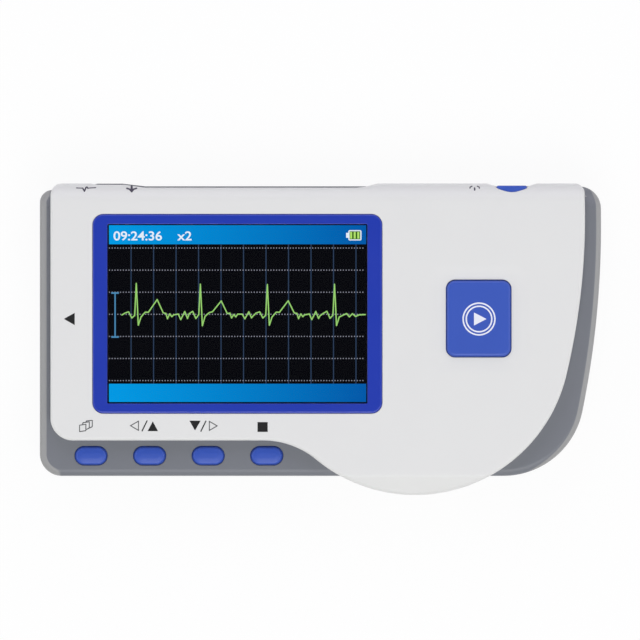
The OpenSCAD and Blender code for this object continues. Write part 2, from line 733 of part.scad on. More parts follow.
// The board's main parts stand right of the batteries
chip_gap = 12;
chip_x = bay_end + chip_gap;
processor_w = 10;
processor_t = 1.2;
processor_y = 5;
memory_w = 8;
memory_h = 5;
memory_t = 1;
memory_y = -7;
shield_w = 12;
shield_h = 10;
shield_t = 2.4;
shield_sheet = 0.3;
shield_y = -11;
crystal_w = 8;
crystal_h = 3.6;
crystal_t = 1.3;
crystal_y = 14;
buzzer_d = 9;
buzzer_t = 2.6;
buzzer_hole_d = 1.6;
buzzer_from_end = 17;
buzzer_y = -4;
buzzer_c = [right - buzzer_from_end, buzzer_y];

module processor_chip() {
    color([0.08, 0.08, 0.09]) chip(chip_x, processor_y, processor_w, processor_w, processor_t);
}

module memory_chip() {
    color([0.08, 0.08, 0.09]) chip(chip_x - 2, memory_y, memory_w, memory_h, memory_t);
}

module analog_shield() {
    color([0.8, 0.8, 0.8]) difference() {
        chip(chip_x + shield_w, shield_y, shield_w, shield_h, shield_t);
        translate([0, 0, -eps]) chip(chip_x + shield_w, shield_y, shield_w - 2 * shield_sheet,
            shield_h - 2 * shield_sheet, shield_t - shield_sheet);
    }
}

module crystal() {
    color([0.82, 0.82, 0.8]) translate([chip_x + processor_w, crystal_y, board_top])
        linear_extrude(crystal_t) polygon(stadium(crystal_w, crystal_h));
}

module buzzer() {
    color([0.1, 0.1, 0.1]) difference() {
        rod(buzzer_c, buzzer_d, board_top, board_top + buzzer_t);
        rod(buzzer_c, buzzer_hole_d, board_top + 1, board_top + over);
    }
}

socket_l = 9;
socket_sheet = 0.4;
tongue_t = 0.9;         // the contact tongue in the middle of the socket

module data_socket() {
    socket_end = grey_top + 0.1;
    translate([socket_x, socket_end, board_z - socket_t / 2]) rotate([90, 0, 0]) {
        color([0.8, 0.81, 0.82]) difference() {
            linear_extrude(socket_l) polygon(rounded(socket_w, socket_t, 0.7));
            translate([0, 0, -over]) linear_extrude(socket_l + over - 3)
                polygon(rounded(socket_w, socket_t, 0.8, socket_sheet));
        }
        color([0.08, 0.08, 0.08]) translate([-socket_w / 2 + 1.4, -tongue_t / 2, 0.8])
            cube([socket_w - 2.8, tongue_t, socket_l - 3]);
    }
}

// ---- Electrodes

stud_d = 2;
stud_proud = 1.2;       // how far a finger electrode's stud reaches above the floor
contact_pin_d = 1.6;
chest_z = (rear_h + rear_edge_r) / 2;
chest_stud_y = bay_y - chest_l / 2 + 2.2;
finger_from_end = 27;
index_from_top = 17.2;
finger_pitch = 20.5;
finger_places = [[right - finger_from_end, top - index_from_top, 0],
    [right - finger_from_end, top - index_from_top - finger_pitch, 0]];

module chest_recess() {
    translate([left - over, bay_y, chest_z]) rotate([90, 0, 90])
        linear_extrude(over + electrode_t + fit_gap)
            polygon(rounded(chest_l + 2 * fit_gap, chest_w + 2 * fit_gap, 3));
    translate([left - over, chest_stud_y, chest_z]) rotate([0, 90, 0])
        cylinder(d = stud_d + 2 * fit_gap, h = over + wall + 1);
}

module chest_electrode() {
    color([0.8, 0.81, 0.82]) {
        translate([left, bay_y, chest_z]) rotate([90, 0, 90]) linear_extrude(electrode_t)
            polygon(rounded(chest_l, chest_w, 3));
        translate([left + electrode_t - eps, chest_stud_y, chest_z]) rotate([0, 90, 0])
            cylinder(d = stud_d, h = wall + 0.6);
    }
}

module finger_electrode(p) {
    color([0.8, 0.81, 0.82]) translate(p) {
        prism(rounded(finger_w, finger_l, 2.5), 0, electrode_t);
        cylinder(d = stud_d, h = floor_t + stud_proud);
    }
}

module electrode_contacts() {
    stud_end = left + electrode_t + wall + 0.6;
    color([0.85, 0.7, 0.3]) {
        for (p = finger_places) rod(p, contact_pin_d, floor_t + stud_proud, board_z);
        block([stud_end, chest_stud_y - contact_pin_d / 2, chest_z - contact_pin_d / 2],
            [stud_end + plate_t, chest_stud_y + contact_pin_d / 2, board_z]);
    }
}

// ---- Battery cells and contacts

// side is 1 for the upper cell, whose nub points right, and -1 for the lower one
module battery_cell(side) {
    nub = 0.8;
    nub_end = side > 0 ? bay_x1 - plate_t - fit_gap : bay_x0 + plate_t + fit_gap;
    color(side > 0 ? [0.25, 0.28, 0.32] : [0.3, 0.33, 0.36])
        translate([nub_end, bay_y + side * cell_pitch / 2, cell_z]) rotate([0, -90 * side, 0]) {
            cylinder(d = 3.6, h = nub + eps);
            translate([0, 0, nub]) cylinder(d = cell_d, h = cell_l - nub);
        }
}

spring_l = bay_l - cell_l - 2 * plate_t - 3 * fit_gap;
spring_steps = 10;

// Conical spring along +X: one unbroken tube with closed ends
module cell_spring() {
    wide = 3.7;
    narrow = 2;
    rings = spring_curls * spring_steps;
    run = spring_l - spring_wire;
    function centre(k) = let(t = k / rings, r = wide + (narrow - wide) * t, a = 360 * spring_curls * t)
        [spring_wire / 2 + run * t, r * cos(a), r * sin(a)];
    function ring(k) = let(c = centre(k), a = 360 * spring_curls * k / rings)
        [for (i = [0 : 5]) c + spring_wire / 2 * [cos(60 * i), sin(60 * i) * cos(a), sin(60 * i) * sin(a)]];
    points = [for (k = [0 : rings]) each ring(k)];
    sides = [for (k = [0 : rings - 1]) each [for (i = [0 : 5]) let(j = (i + 1) % 6,
        a = 6 * k + i, b = 6 * k + j, c = 6 * k + 6 + j, d = 6 * k + 6 + i) each [[a, d, c], [a, c, b]]]];
    polyhedron(points, concat([[for (i = [0 : 5]) i]], sides, [[for (i = [5 : -1 : 0]) 6 * rings + i]]));
}

module contact_plate(x, y0, y1) {
    block([x, y0, bay_z0 + 1], [x + plate_t, y1, bay_top - 1]);
}

contact_w = 8;

module bridge_contact() {
    color([0.8, 0.8, 0.78]) {
        contact_plate(bay_x0, bay_y - cell_pitch / 2 - contact_w / 2, bay_y + cell_pitch / 2 + contact_w / 2);
        translate([bay_x0 + plate_t - 0.02, bay_y + cell_pitch / 2, cell_z]) cell_spring();
    }
}

module positive_contact() {
    y = bay_y + cell_pitch / 2;
    color([0.8, 0.8, 0.78]) contact_plate(bay_x1 - plate_t, y - contact_w / 2, y + contact_w / 2);
}

module negative_contact() {
    y = bay_y - cell_pitch / 2;
    color([0.8, 0.8, 0.78]) {
        contact_plate(bay_x1 - plate_t, y - contact_w / 2, y + contact_w / 2);
        translate([bay_x1 - plate_t + 0.02, y, cell_z]) rotate([0, 0, 180]) cell_spring();
    }
}

// ---- Screws

head_t = 1.6;

module housing_screws() {
    color([0.7, 0.71, 0.73]) for (p = screw_places) difference() {
        union() {
            rod(p, screw_head_d, head_seat_z - head_t, head_seat_z);
            rod(p, screw_d, head_seat_z - eps, ceiling_z - 1);
        }
        translate([p[0], p[1], head_seat_z - head_t - eps]) {
            translate([-1.2, -0.3, 0]) cube([2.4, 0.6, 0.8]);
            translate([-0.3, -1.2, 0]) cube([0.6, 2.4, 0.8]);
        }
    }
}

module board_screws() {
    color([0.7, 0.71, 0.73]) for (p = post_places) {
        rod(p, board_screw_d, 5, board_top + eps);
        rod(p, board_screw_d + 1.6, board_top, board_top + 1);
    }
}

rear_housing();
battery_door();
middle_frame();
front_cover();
screen_frame();
screen_lens();
lcd_gasket();
lcd_panel();
lcd_tray();
lcd_flex();
lcd_connector();
start_button();
soft_key(0);  // menu_key
soft_key(1);  // left_up_key
soft_key(2);  // right_down_key
soft_key(3);  // stop_key
power_button();
actuator(start_c);  // start_actuator
actuator(key_c(0));  // menu_actuator
actuator(key_c(1));  // left_up_actuator
actuator(key_c(2));  // right_down_actuator
actuator(key_c(3));  // stop_actuator
power_actuator();
start_switch();
soft_key_switches();
power_switch();
main_board();
processor_chip();
memory_chip();
analog_shield();
crystal();
buzzer();
data_socket();
chest_electrode();
finger_electrode(finger_places[0]);  // index_finger_electrode
finger_electrode(finger_places[1]);  // middle_finger_electrode
electrode_contacts();
battery_cell(1);  // battery_cell_1
battery_cell(-1);  // battery_cell_2
bridge_contact();
positive_contact();
negative_contact();
housing_screws();
board_screws();
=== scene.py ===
"""A handheld heart monitor lying on its back: its pieces, finishes, light and camera.

Shapes are modelled in millimetres, with X along the monitor, Y towards its top edge and Z out of
the screen, and brought to metres when a piece is finished.
"""
import math

import bmesh
import bpy
from mathutils import Matrix, Vector


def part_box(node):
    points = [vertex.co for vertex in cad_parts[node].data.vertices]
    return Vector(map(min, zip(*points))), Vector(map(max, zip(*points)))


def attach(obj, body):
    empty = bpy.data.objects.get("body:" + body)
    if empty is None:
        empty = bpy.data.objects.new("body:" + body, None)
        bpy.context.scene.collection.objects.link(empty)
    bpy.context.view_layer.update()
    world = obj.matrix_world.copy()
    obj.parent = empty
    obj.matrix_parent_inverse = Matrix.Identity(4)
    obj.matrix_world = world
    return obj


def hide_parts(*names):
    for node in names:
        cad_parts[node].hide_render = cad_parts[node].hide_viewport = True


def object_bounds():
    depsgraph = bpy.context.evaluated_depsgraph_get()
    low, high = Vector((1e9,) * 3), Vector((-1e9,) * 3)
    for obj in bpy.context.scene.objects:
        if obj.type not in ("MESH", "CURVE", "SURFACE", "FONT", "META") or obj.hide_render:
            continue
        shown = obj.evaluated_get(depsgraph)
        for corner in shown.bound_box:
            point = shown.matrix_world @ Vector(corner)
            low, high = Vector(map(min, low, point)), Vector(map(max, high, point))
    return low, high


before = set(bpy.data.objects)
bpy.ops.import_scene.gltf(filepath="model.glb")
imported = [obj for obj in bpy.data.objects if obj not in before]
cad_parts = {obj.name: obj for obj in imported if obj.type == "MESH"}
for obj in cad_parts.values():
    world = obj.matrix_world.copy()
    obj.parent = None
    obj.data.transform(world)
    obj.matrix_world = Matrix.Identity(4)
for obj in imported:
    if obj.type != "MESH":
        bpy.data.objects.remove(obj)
CAD_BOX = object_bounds()

# ---- Sizes, in millimetres

MM = 0.001
TINY = 0.001
ARC_ERROR = 0.004       # how far a facet may lie from its arc
OVER = 5.0              # how far a cutting shape runs past what it cuts
CREASE = 32             # degrees from which an edge stays an edge


def span(node):
    """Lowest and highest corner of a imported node."""
    low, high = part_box(node)
    return low / MM, high / MM


body_low, body_high = CAD_BOX[0] / MM, CAD_BOX[1] / MM
cover_low, cover_high = span("front_cover")
deck_low, deck_high = span("middle_frame")
bezel_low, bezel_high = span("screen_frame")
lens_low, lens_high = span("screen_lens")

LEFT, RIGHT = body_low.x, body_high.x
TOP, BOTTOM = cover_high.y, cover_low.y
COVER_LEFT = cover_low.x
FACE_Z = cover_high.z
CHIN_Z = cover_low.z
SPLIT_Z = deck_low.z
DECK_Z = deck_high.z
GREY_BOTTOM = deck_low.y
GREY_TOP = TOP - 0.65

WALL = 1.8
FLOOR_T = 2.0
DECK_T = 1.6
CEILING_Z = FACE_Z - 2.0
REAR_EDGE_R = 2.4
DECK_EDGE_R = 1.6
FACE_EDGE_R = 0.7
ROLL_R = 4.1
CHIN_R = GREY_BOTTOM - BOTTOM

LOBE_DROP = 12.15       # from the cover's straight lower edge down to the lobe's tip
LOBE_R = 34.6
SWEEP_R = 18.5
SIDE_R = 150.0
SIDE_Y = 27.0
GRIP_STRIP = 3.62
GRIP_R = 205.0
GRIP_Y = 25.0
HEEL_R = 18.0
GREY_CORNER_R = 4.9
COVER_BASE = BOTTOM + LOBE_DROP

FRAME_X, FRAME_Y = (bezel_low.x + bezel_high.x) / 2, (bezel_low.y + bezel_high.y) / 2
PICTURE_W = 57.5
PICTURE_H = 39.55
BUTTON_GAP = 0.25


def centre(node):
    """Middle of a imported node, seen from the front."""
    low, high = span(node)
    return (low.x + high.x) / 2, (low.y + high.y) / 2


def polar(cx, cy, radius, degrees):
    """Point on a circle."""
    return cx + radius * math.cos(math.radians(degrees)), cy + radius * math.sin(math.radians(degrees))


def heading(dx, dy):
    """Direction of a step, in degrees."""
    return math.degrees(math.atan2(dy, dx))


# ---- Outlines: lists of arcs (x, y, radius, from angle, to angle) and of corner points (x, y)


def cover_outline(inset=0.0, dips=True):
    """White cover's outline, counterclockwise, with the dips in its top edge if asked for."""
    side_x = RIGHT - GRIP_STRIP - SIDE_R
    lobe_y = BOTTOM + LOBE_R
    lobe_x = side_x + math.sqrt((SIDE_R - LOBE_R) ** 2 - (lobe_y - SIDE_Y) ** 2)
    sweep_y = COVER_BASE - SWEEP_R
    sweep_x = lobe_x - math.sqrt((LOBE_R + SWEEP_R) ** 2 - (lobe_y - sweep_y) ** 2)
    sweep_a = heading(lobe_x - sweep_x, lobe_y - sweep_y)
    lobe_a = heading(lobe_x - side_x, lobe_y - SIDE_Y)
    low_r, high_r, tip_r = (max(r - inset, 0.3) for r in (5.0, 2.6, 2.2))
    tip_y = TOP - inset - tip_r
    tip_x = side_x + math.sqrt((SIDE_R - inset - tip_r) ** 2 - (tip_y - SIDE_Y) ** 2)
    tip_a = heading(tip_x - side_x, tip_y - SIDE_Y)
    outline = [
        (COVER_LEFT + inset + low_r, COVER_BASE + inset + low_r, low_r, 180, 270),
        (sweep_x, sweep_y, SWEEP_R + inset, 90, sweep_a),
        (lobe_x, lobe_y, LOBE_R - inset, 180 + sweep_a, 360 + lobe_a),
        (side_x, SIDE_Y, SIDE_R - inset, lobe_a, tip_a),
        (tip_x, tip_y, tip_r, tip_a, 90),
    ]
    if dips:
        outline += top_dips()
    outline.append((COVER_LEFT + inset + high_r, TOP - inset - high_r, high_r, 90, 180))
    return outline


SCOOP_R = 16.0
SCOOP_DEPTH = 1.0
RECESS = 0.95           # how far the top edge steps back above the screen
STEP = 0.3              # and above the socket
POWER_X = centre("power_button")[0]
SOCKET_X = centre("data_socket")[0]
HUMP_LEFT = 3.1         # reach of the swelling's flat top left of the socket's middle
HUMP_RIGHT = 2.4        # and right of it
HUMP_SLOPE = 4.0        # length of its left slope
HUMP_FALL = 5.1         # and of its right slope
HUMP_RISE = 0.6


def top_dips():
    """Scoop round the power button, and the long shallow recess left of it."""
    reach = heading(math.sqrt(SCOOP_R ** 2 - (SCOOP_R - SCOOP_DEPTH) ** 2), SCOOP_DEPTH - SCOOP_R)
    recess_end = FRAME_X + 26.5
    hump_end = SOCKET_X + HUMP_RIGHT
    return [
        (POWER_X, TOP - SCOOP_DEPTH + SCOOP_R, SCOOP_R, reach, -180 - reach),
        (recess_end + 4.8, TOP),
        (recess_end + 3.6, TOP - 0.32),
        (recess_end + 2.0, TOP - RECESS + 0.2),
        (recess_end, TOP - RECESS),
        (hump_end + HUMP_FALL, TOP - RECESS),
        (hump_end + 0.3, TOP - STEP),
        (SOCKET_X - HUMP_LEFT, TOP - STEP),
        (SOCKET_X - HUMP_LEFT - 1.6, TOP),
    ]


def grey_outline(inset=0.0, hump=False):
    """Grey housing's and deck's outline, counterclockwise."""
    grip_x = RIGHT - GRIP_R
    heel_y = GREY_BOTTOM + HEEL_R
    heel_x = grip_x + math.sqrt((GRIP_R - HEEL_R) ** 2 - (heel_y - GRIP_Y) ** 2)
    heel_a = heading(heel_x - grip_x, heel_y - GRIP_Y)
    corner_r, shoulder_r = max(GREY_CORNER_R - inset, 0.3), max(2.8 - inset, 0.3)
    tip_y = GREY_TOP - inset - corner_r
    tip_x = grip_x + math.sqrt((GRIP_R - inset - corner_r) ** 2 - (tip_y - GRIP_Y) ** 2)
    tip_a = heading(tip_x - grip_x, tip_y - GRIP_Y)
    slope = 98
    shoulder_x, shoulder_y = LEFT + inset + shoulder_r, GREY_TOP - 0.8 - inset - shoulder_r
    end_x, end_y = polar(shoulder_x, shoulder_y, shoulder_r, slope)
    start_x = end_x + (GREY_TOP - inset - end_y) / math.tan(math.radians(slope - 90))
    outline = [
        (LEFT + inset + corner_r, GREY_BOTTOM + inset + corner_r, corner_r, 180, 270),
        (heel_x, heel_y, HEEL_R - inset, 270, 360 + heel_a),
        (grip_x, GRIP_Y, GRIP_R - inset, heel_a, tip_a),
        (tip_x, tip_y, corner_r, tip_a, 90),
    ]
    if hump:
        left, right = SOCKET_X - HUMP_LEFT, SOCKET_X + HUMP_RIGHT
        outline += [(right + HUMP_FALL, GREY_TOP), (right, GREY_TOP + HUMP_RISE),
                    (left, GREY_TOP + HUMP_RISE), (left - HUMP_SLOPE, GREY_TOP)]
    return outline + [(start_x, GREY_TOP - inset), (shoulder_x, shoulder_y, shoulder_r, slope, 180)]


def rounded(width, height, radius, x=0.0, y=0.0):
    """Rounded rectangle's outline round a point."""
    dx, dy = width / 2 - radius, height / 2 - radius
    return [(x + dx, y + dy, radius, 0, 90), (x - dx, y + dy, radius, 90, 180),
            (x - dx, y - dy, radius, 180, 270), (x + dx, y - dy, radius, 270, 360)]


def stadium(width, height, x=0.0, y=0.0):
    """Outline with round ends."""
    dx, radius = (width - height) / 2, height / 2
    return [(x + dx, y, radius, -90, 90), (x - dx, y, radius, 90, 270)]


def arched(width, height, corner_r, arch_r):
    """Outline round zero with straight sides and an arched top and bottom."""
    x, arch_y = width / 2 - corner_r, height / 2 - arch_r
    y = arch_y + math.sqrt((arch_r - corner_r) ** 2 - x * x)
    turn = heading(x, y - arch_y)
    return [(x, y, corner_r, 0, turn), (0, arch_y, arch_r, turn, 180 - turn),
            (-x, y, corner_r, 180 - turn, 180), (-x, -y, corner_r, 180, 180 + turn),
            (0, -arch_y, arch_r, 180 + turn, 360 - turn), (x, -y, corner_r, 360 - turn, 360)]


def disc(x, y, radius):
    """Full circle, as two half turns."""
    return [(x, y, radius, -90, 90), (x, y, radius, 90, 270)]


# ---- Modelling


def add_arc(bm, x, y, radius, start, end):
    """Vertex spun round an arc's centre; gives the arc's two ends."""
    turn = math.radians(end - start)
    facet = 2 * math.acos(1 - min(ARC_ERROR / radius, 0.1))
    steps = max(3, math.ceil(abs(turn) / facet))
    px, py = polar(x, y, radius, start)
    first = bm.verts.new((px, py, 0))
    spun = bmesh.ops.spin(bm, geom=[first], cent=(x, y, 0), axis=(0, 0, 1), angle=turn, steps=steps)
    last = next(item for item in spun["geom_last"] if isinstance(item, bmesh.types.BMVert))
    return first, last


def draw(bm, outline, z=0.0):
    """One face inside an outline of arcs and points, joined by straight edges."""
    before = set(bm.verts)
    ends = []
    for part in outline:
        if len(part) == 2:
            corner = bm.verts.new((*part, 0))
            ends.append((corner, corner))
        else:
            ends.append(add_arc(bm, *part))
    for (_, here), (there, _) in zip(ends, ends[1:] + ends[:1]):
        bm.edges.new((here, there))
    fresh = [v for v in bm.verts if v not in before]
    bmesh.ops.remove_doubles(bm, verts=fresh, dist=TINY)
    fresh = [v for v in bm.verts if v not in before]
    edges = list({e for v in fresh for e in v.link_edges})
    face = bmesh.ops.contextual_create(bm, geom=edges)["faces"][0]
    bmesh.ops.translate(bm, vec=(0, 0, z), verts=fresh)
    return face


def extrude(bm, faces, height):
    """Extrudes faces up or down."""
    made = bmesh.ops.extrude_face_region(bm, geom=faces)["geom"]
    corners = [item for item in made if isinstance(item, bmesh.types.BMVert)]
    bmesh.ops.translate(bm, vec=(0, 0, height), verts=corners)


def inset(bm, face, width):
    """Draws a face in by an even width."""
    bmesh.ops.inset_region(bm, faces=[face], thickness=width, use_even_offset=True, use_boundary=True)


def solid(outline, z0, z1):
    """bmesh of a straight solid between two heights."""
    bm = bmesh.new()
    extrude(bm, [draw(bm, outline, z0)], z1 - z0)
    bmesh.ops.recalc_face_normals(bm, faces=bm.faces)
    return bm


def ring(outline, width, z0, z1):
    """bmesh of a ring of even width just inside an outline, between two heights."""
    bm = bmesh.new()
    face = draw(bm, outline, z0)
    inset(bm, face, width)
    bmesh.ops.delete(bm, geom=[face], context="FACES")
    extrude(bm, bm.faces[:], z1 - z0)
    bmesh.ops.recalc_face_normals(bm, faces=bm.faces)
    return bm


def level_edges(bm, z, where=lambda co: True):
    """Edges that lie at one height."""
    return [e for e in bm.edges if all(abs(v.co.z - z) < TINY and where(v.co) for v in e.verts)]


def round_edges(bm, edges, radius, segments):
    """Rounds edges off."""
    bmesh.ops.bevel(bm, geom=edges, offset=radius, segments=segments, profile=0.5, affect="EDGES",
                    material=-1, clamp_overlap=False)


def slice_at(bm, places, axis=1):
    """Cuts new edge loops at places along an axis, without taking anything away."""
    normal = Vector((0, 0, 0))
    normal[axis] = 1
    for place in places:
        bmesh.ops.bisect_plane(bm, geom=bm.verts[:] + bm.edges[:] + bm.faces[:], dist=TINY,
                               plane_co=normal * place, plane_no=normal)


def moved(bm, x, y, z):
    """Shifts a bmesh."""
    bmesh.ops.translate(bm, vec=(x, y, z), verts=bm.verts)
    return bm


def block(low, high):
    """bmesh of a box between two corners."""
    bm = bmesh.new()
    bmesh.ops.create_cube(bm, size=1)
    low, high = Vector(low), Vector(high)
    bmesh.ops.scale(bm, vec=high - low, verts=bm.verts)
    return moved(bm, *(low + high) / 2)


def rod(x, y, radius, z0, z1, segments=48):
    """bmesh of a cylinder along Z."""
    bm = bmesh.new()
    bmesh.ops.create_cone(bm, cap_ends=True, segments=segments, radius1=radius, radius2=radius, depth=z1 - z0)
    return moved(bm, x, y, (z0 + z1) / 2)


def turned(bm, angle, axis):
    """Turns a bmesh round an axis through zero."""
    bmesh.ops.rotate(bm, cent=(0, 0, 0), matrix=Matrix.Rotation(math.radians(angle), 3, axis), verts=bm.verts)
    return bm


def merged(*parts):
    """One bmesh of several."""
    bm = parts[0]
    for part in parts[1:]:
        mesh = bpy.data.meshes.new("part")
        part.to_mesh(mesh)
        part.free()
        bm.from_mesh(mesh)
        bpy.data.meshes.remove(mesh)
    return bm


def place(name, bm):
    """Object, still in millimetres."""
    mesh = bpy.data.meshes.new(name)
    bm.to_mesh(mesh)
    bm.free()
    piece = bpy.data.objects.new(name, mesh)
    bpy.context.scene.collection.objects.link(piece)
    return piece


def combine(piece, parts, operation):
    """Applies solids to a piece, one after the other."""
    tools = [place("tool", bm) for bm in parts]
    for tool in tools:
        step = piece.modifiers.new("step", "BOOLEAN")
        step.object = tool
        step.operation = operation
        step.solver = "EXACT"
    seen = piece.evaluated_get(bpy.context.evaluated_depsgraph_get())
    mesh = bpy.data.meshes.new_from_object(seen)
    piece.modifiers.clear()
    worn = piece.data
    piece.data = mesh
    bpy.data.meshes.remove(worn)
    for tool in tools:
        bpy.data.objects.remove(tool)


def cut(piece, *parts):
    """Cuts solids out of a piece."""
    combine(piece, parts, "DIFFERENCE")


def add(piece, *parts):
    """Joins solids to a piece."""
    combine(piece, parts, "UNION")


def rods(places, radius, z0, z1, segments=48):
    """Cylinders along Z at several places."""
    return [rod(x, y, radius, z0, z1, segments) for x, y in places]


def taken(piece):
    """bmesh of an object that was only needed on the way, and goes."""
    bm = bmesh.new()
    bm.from_mesh(piece.data)
    bpy.data.objects.remove(piece)
    return bm


def trimmed(bm, low, high):
    """What of a bmesh lies inside a box."""
    piece = place("trim", bm)
    combine(piece, [block(low, high)], "INTERSECT")
    return taken(piece)


def finish(piece, body, material, soften=0, replaces=()):
    """Brings a piece to metres and gives it smooth shading, soft edges, its finish and its body."""
    bm = bmesh.new()
    bm.from_mesh(piece.data)
    bmesh.ops.remove_doubles(bm, verts=bm.verts, dist=TINY / 2)
    bmesh.ops.dissolve_degenerate(bm, edges=bm.edges, dist=TINY / 2)
    bmesh.ops.holes_fill(bm, edges=bm.edges, sides=0)
    bmesh.ops.recalc_face_normals(bm, faces=bm.faces)
    bmesh.ops.scale(bm, vec=(MM, MM, MM), verts=bm.verts)
    bm.to_mesh(piece.data)
    bm.free()
    piece.data.materials.append(material)
    piece.data.shade_smooth()
    piece.data.set_sharp_from_angle(angle=math.radians(CREASE))
    if soften:
        edge = piece.modifiers.new("soft edges", "BEVEL")
        edge.width = soften * MM
        edge.segments = 2
        edge.limit_method = "ANGLE"
        edge.angle_limit = math.radians(CREASE)
    weighted = piece.modifiers.new("flat faces stay flat", "WEIGHTED_NORMAL")
    weighted.keep_sharp = not soften
    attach(piece, body)
    if replaces:
        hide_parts(*replaces)
    return piece


# ---- Effects that several finishes share


def feed(tree, value, socket):
    """Gives an input its value, or joins another node's output to it."""
    if isinstance(value, bpy.types.NodeSocket):
        tree.links.new(value, socket)
    else:
        socket.default_value = value


def new_group(name, inputs, outputs):
    """Shader node group with named sockets, what it is given and where its results go."""
    group = bpy.data.node_groups.new(name, "ShaderNodeTree")
    for socket, value in inputs.items():
        kind = "Float" if isinstance(value, float) else {3: "Vector", 4: "Color"}[len(value)]
        made = group.interface.new_socket(name=socket, in_out="INPUT", socket_type="NodeSocket" + kind)
        made.default_value = value
    for socket, kind in outputs.items():
        group.interface.new_socket(name=socket, in_out="OUTPUT", socket_type="NodeSocket" + kind)
    return group, group.nodes.new("NodeGroupInput").outputs, group.nodes.new("NodeGroupOutput").inputs


def node(tree, kind, **settings):
    """Node with its settings, and with what its inputs are given."""
    made = tree.nodes.new("ShaderNode" + kind)
    for key, value in settings.items():
        if hasattr(made, key) and key not in made.inputs:
            setattr(made, key, value)
        else:
            feed(tree, value, made.inputs[key.replace("_", " ")])
    return made


def calc(tree, operation, *values, kind="Math"):
    """Result of a sum on numbers and on other nodes' outputs."""
    made = node(tree, kind, operation=operation)
    for value, socket in zip(values, made.inputs):
        feed(tree, value, socket)
    return made.outputs[0]


def share(tree, value, low, high, **settings):
    """How far a value has come from a low one to a high one."""
    made = node(tree, "MapRange", Value=value, From_Min=low, From_Max=high, **settings)
    return made.outputs["Result"]


def blend(tree, amount, first, second, **settings):
    """Colour made of two."""
    made = node(tree, "Mix", data_type="RGBA", **settings)
    for value, index in ((amount, 0), (first, 6), (second, 7)):
        feed(tree, value, made.inputs[index])
    return made.outputs[2]


def coords(tree, kind="Object"):
    """Place of each point, on its piece unless told otherwise."""
    return node(tree, "TexCoord").outputs[kind]


def parts_of(tree, vector):
    """X, Y and Z of a vector."""
    return node(tree, "SeparateXYZ", Vector=vector).outputs


def add_relief(group, given, results, height, strength, drift):
    """Bump from one pattern, and roughness that drifts with another."""
    bump = node(group, "Bump", Strength=strength, Height=height, Distance=given["Depth"])
    feed(group, bump.outputs["Normal"], results["Normal"])
    around_zero = calc(group, "SUBTRACT", drift, 0.5)
    rough = calc(group, "MULTIPLY_ADD", around_zero, given["Spread"], given["Roughness"])
    feed(group, rough, results["Roughness"])


RELIEF = {"Normal": "Vector", "Roughness": "Float"}


def make_grain_group():
    """Fine pitted grain of moulded plastic, with a slow drift in roughness."""
    group, given, results = new_group(
        "Moulded grain", {"Size": 4000.0, "Depth": 0.00001, "Roughness": 0.4, "Spread": 0.05}, RELIEF)
    where = coords(group)
    fine = node(group, "TexNoise", Vector=where, Scale=given["Size"], Detail=3.0, Roughness=0.6)
    broad = node(group, "TexNoise", Vector=where, Scale=70.0, Detail=2.0)
    add_relief(group, given, results, fine.outputs["Fac"], 0.6, broad.outputs["Fac"])
    return group


def make_tint_group():
    """Colour that drifts a little towards a second one, in slow patches and fine specks."""
    group, given, results = new_group(
        "Tint drift", {"Color": (0.5, 0.5, 0.5, 1), "Drift": (0.4, 0.4, 0.4, 1), "Size": 60.0, "Amount": 0.3},
        {"Color": "Color"})
    patches = node(group, "TexNoise", Vector=coords(group), Scale=given["Size"], Detail=5.0, Roughness=0.55)
    amount = calc(group, "MULTIPLY", patches.outputs["Fac"], given["Amount"])
    feed(group, blend(group, amount, given["Color"], given["Drift"]), results["Color"])
    return group


def make_brushed_group():
    """Long fine scratches along one axis, as on brushed or drawn metal."""
    group, given, results = new_group(
        "Brushed lines",
        {"Stretch": (60.0, 6000.0, 6000.0), "Depth": 0.000004, "Roughness": 0.3, "Spread": 0.15}, RELIEF)
    stretched = calc(group, "MULTIPLY", coords(group), given["Stretch"], kind="VectorMath")
    lines = node(group, "TexNoise", Vector=stretched, Scale=1.0, Detail=4.0, Roughness=0.6).outputs["Fac"]
    add_relief(group, given, results, lines, 0.5, lines)
    return group


GRAIN = make_grain_group()
TINT = make_tint_group()
BRUSHED = make_brushed_group()


def srgb(red, green, blue):
    """Linear colour of an 8-bit screen colour."""
    return tuple(((c / 255 + 0.055) / 1.055) ** 2.4 if c > 10 else c / 3294.6
                 for c in (red, green, blue)) + (1.0,)


def new_material(name, **inputs):
    """Material with a Principled shader and its values, its tree and that shader's inputs."""
    material = bpy.data.materials.new(name)
    material.use_nodes = True
    tree = material.node_tree
    sockets = tree.nodes["Principled BSDF"].inputs
    for key, value in inputs.items():
        sockets[key.replace("_", " ")].default_value = value
    return material, tree, sockets


def surface(tree, sockets, group, **values):
    """Gives a shader the relief and the roughness of a group."""
    made = node(tree, "Group", node_tree=group, **values)
    for name in RELIEF:
        feed(tree, made.outputs[name], sockets[name])


def tint(tree, sockets, color, drift, size, amount):
    """Gives a shader a colour that drifts a little towards a second one."""
    made = node(tree, "Group", node_tree=TINT, Color=srgb(*color), Drift=srgb(*drift), Size=size,
                Amount=amount)
    feed(tree, made.outputs["Color"], sockets["Base Color"])


def plastic(name, color, drift, size=4000.0, depth=0.000006, roughness=0.4, amount=0.35, coat=0.0,
            specular=0.5):
    """Moulded plastic with its own grain, drift of colour and gloss."""
    material, tree, sockets = new_material(name, Coat_Weight=coat, Coat_Roughness=0.15,
                                           Specular_IOR_Level=specular)
    surface(tree, sockets, GRAIN, Size=size, Depth=depth, Roughness=roughness, Spread=0.08)
    tint(tree, sockets, color, drift, 90.0, amount)
    return material


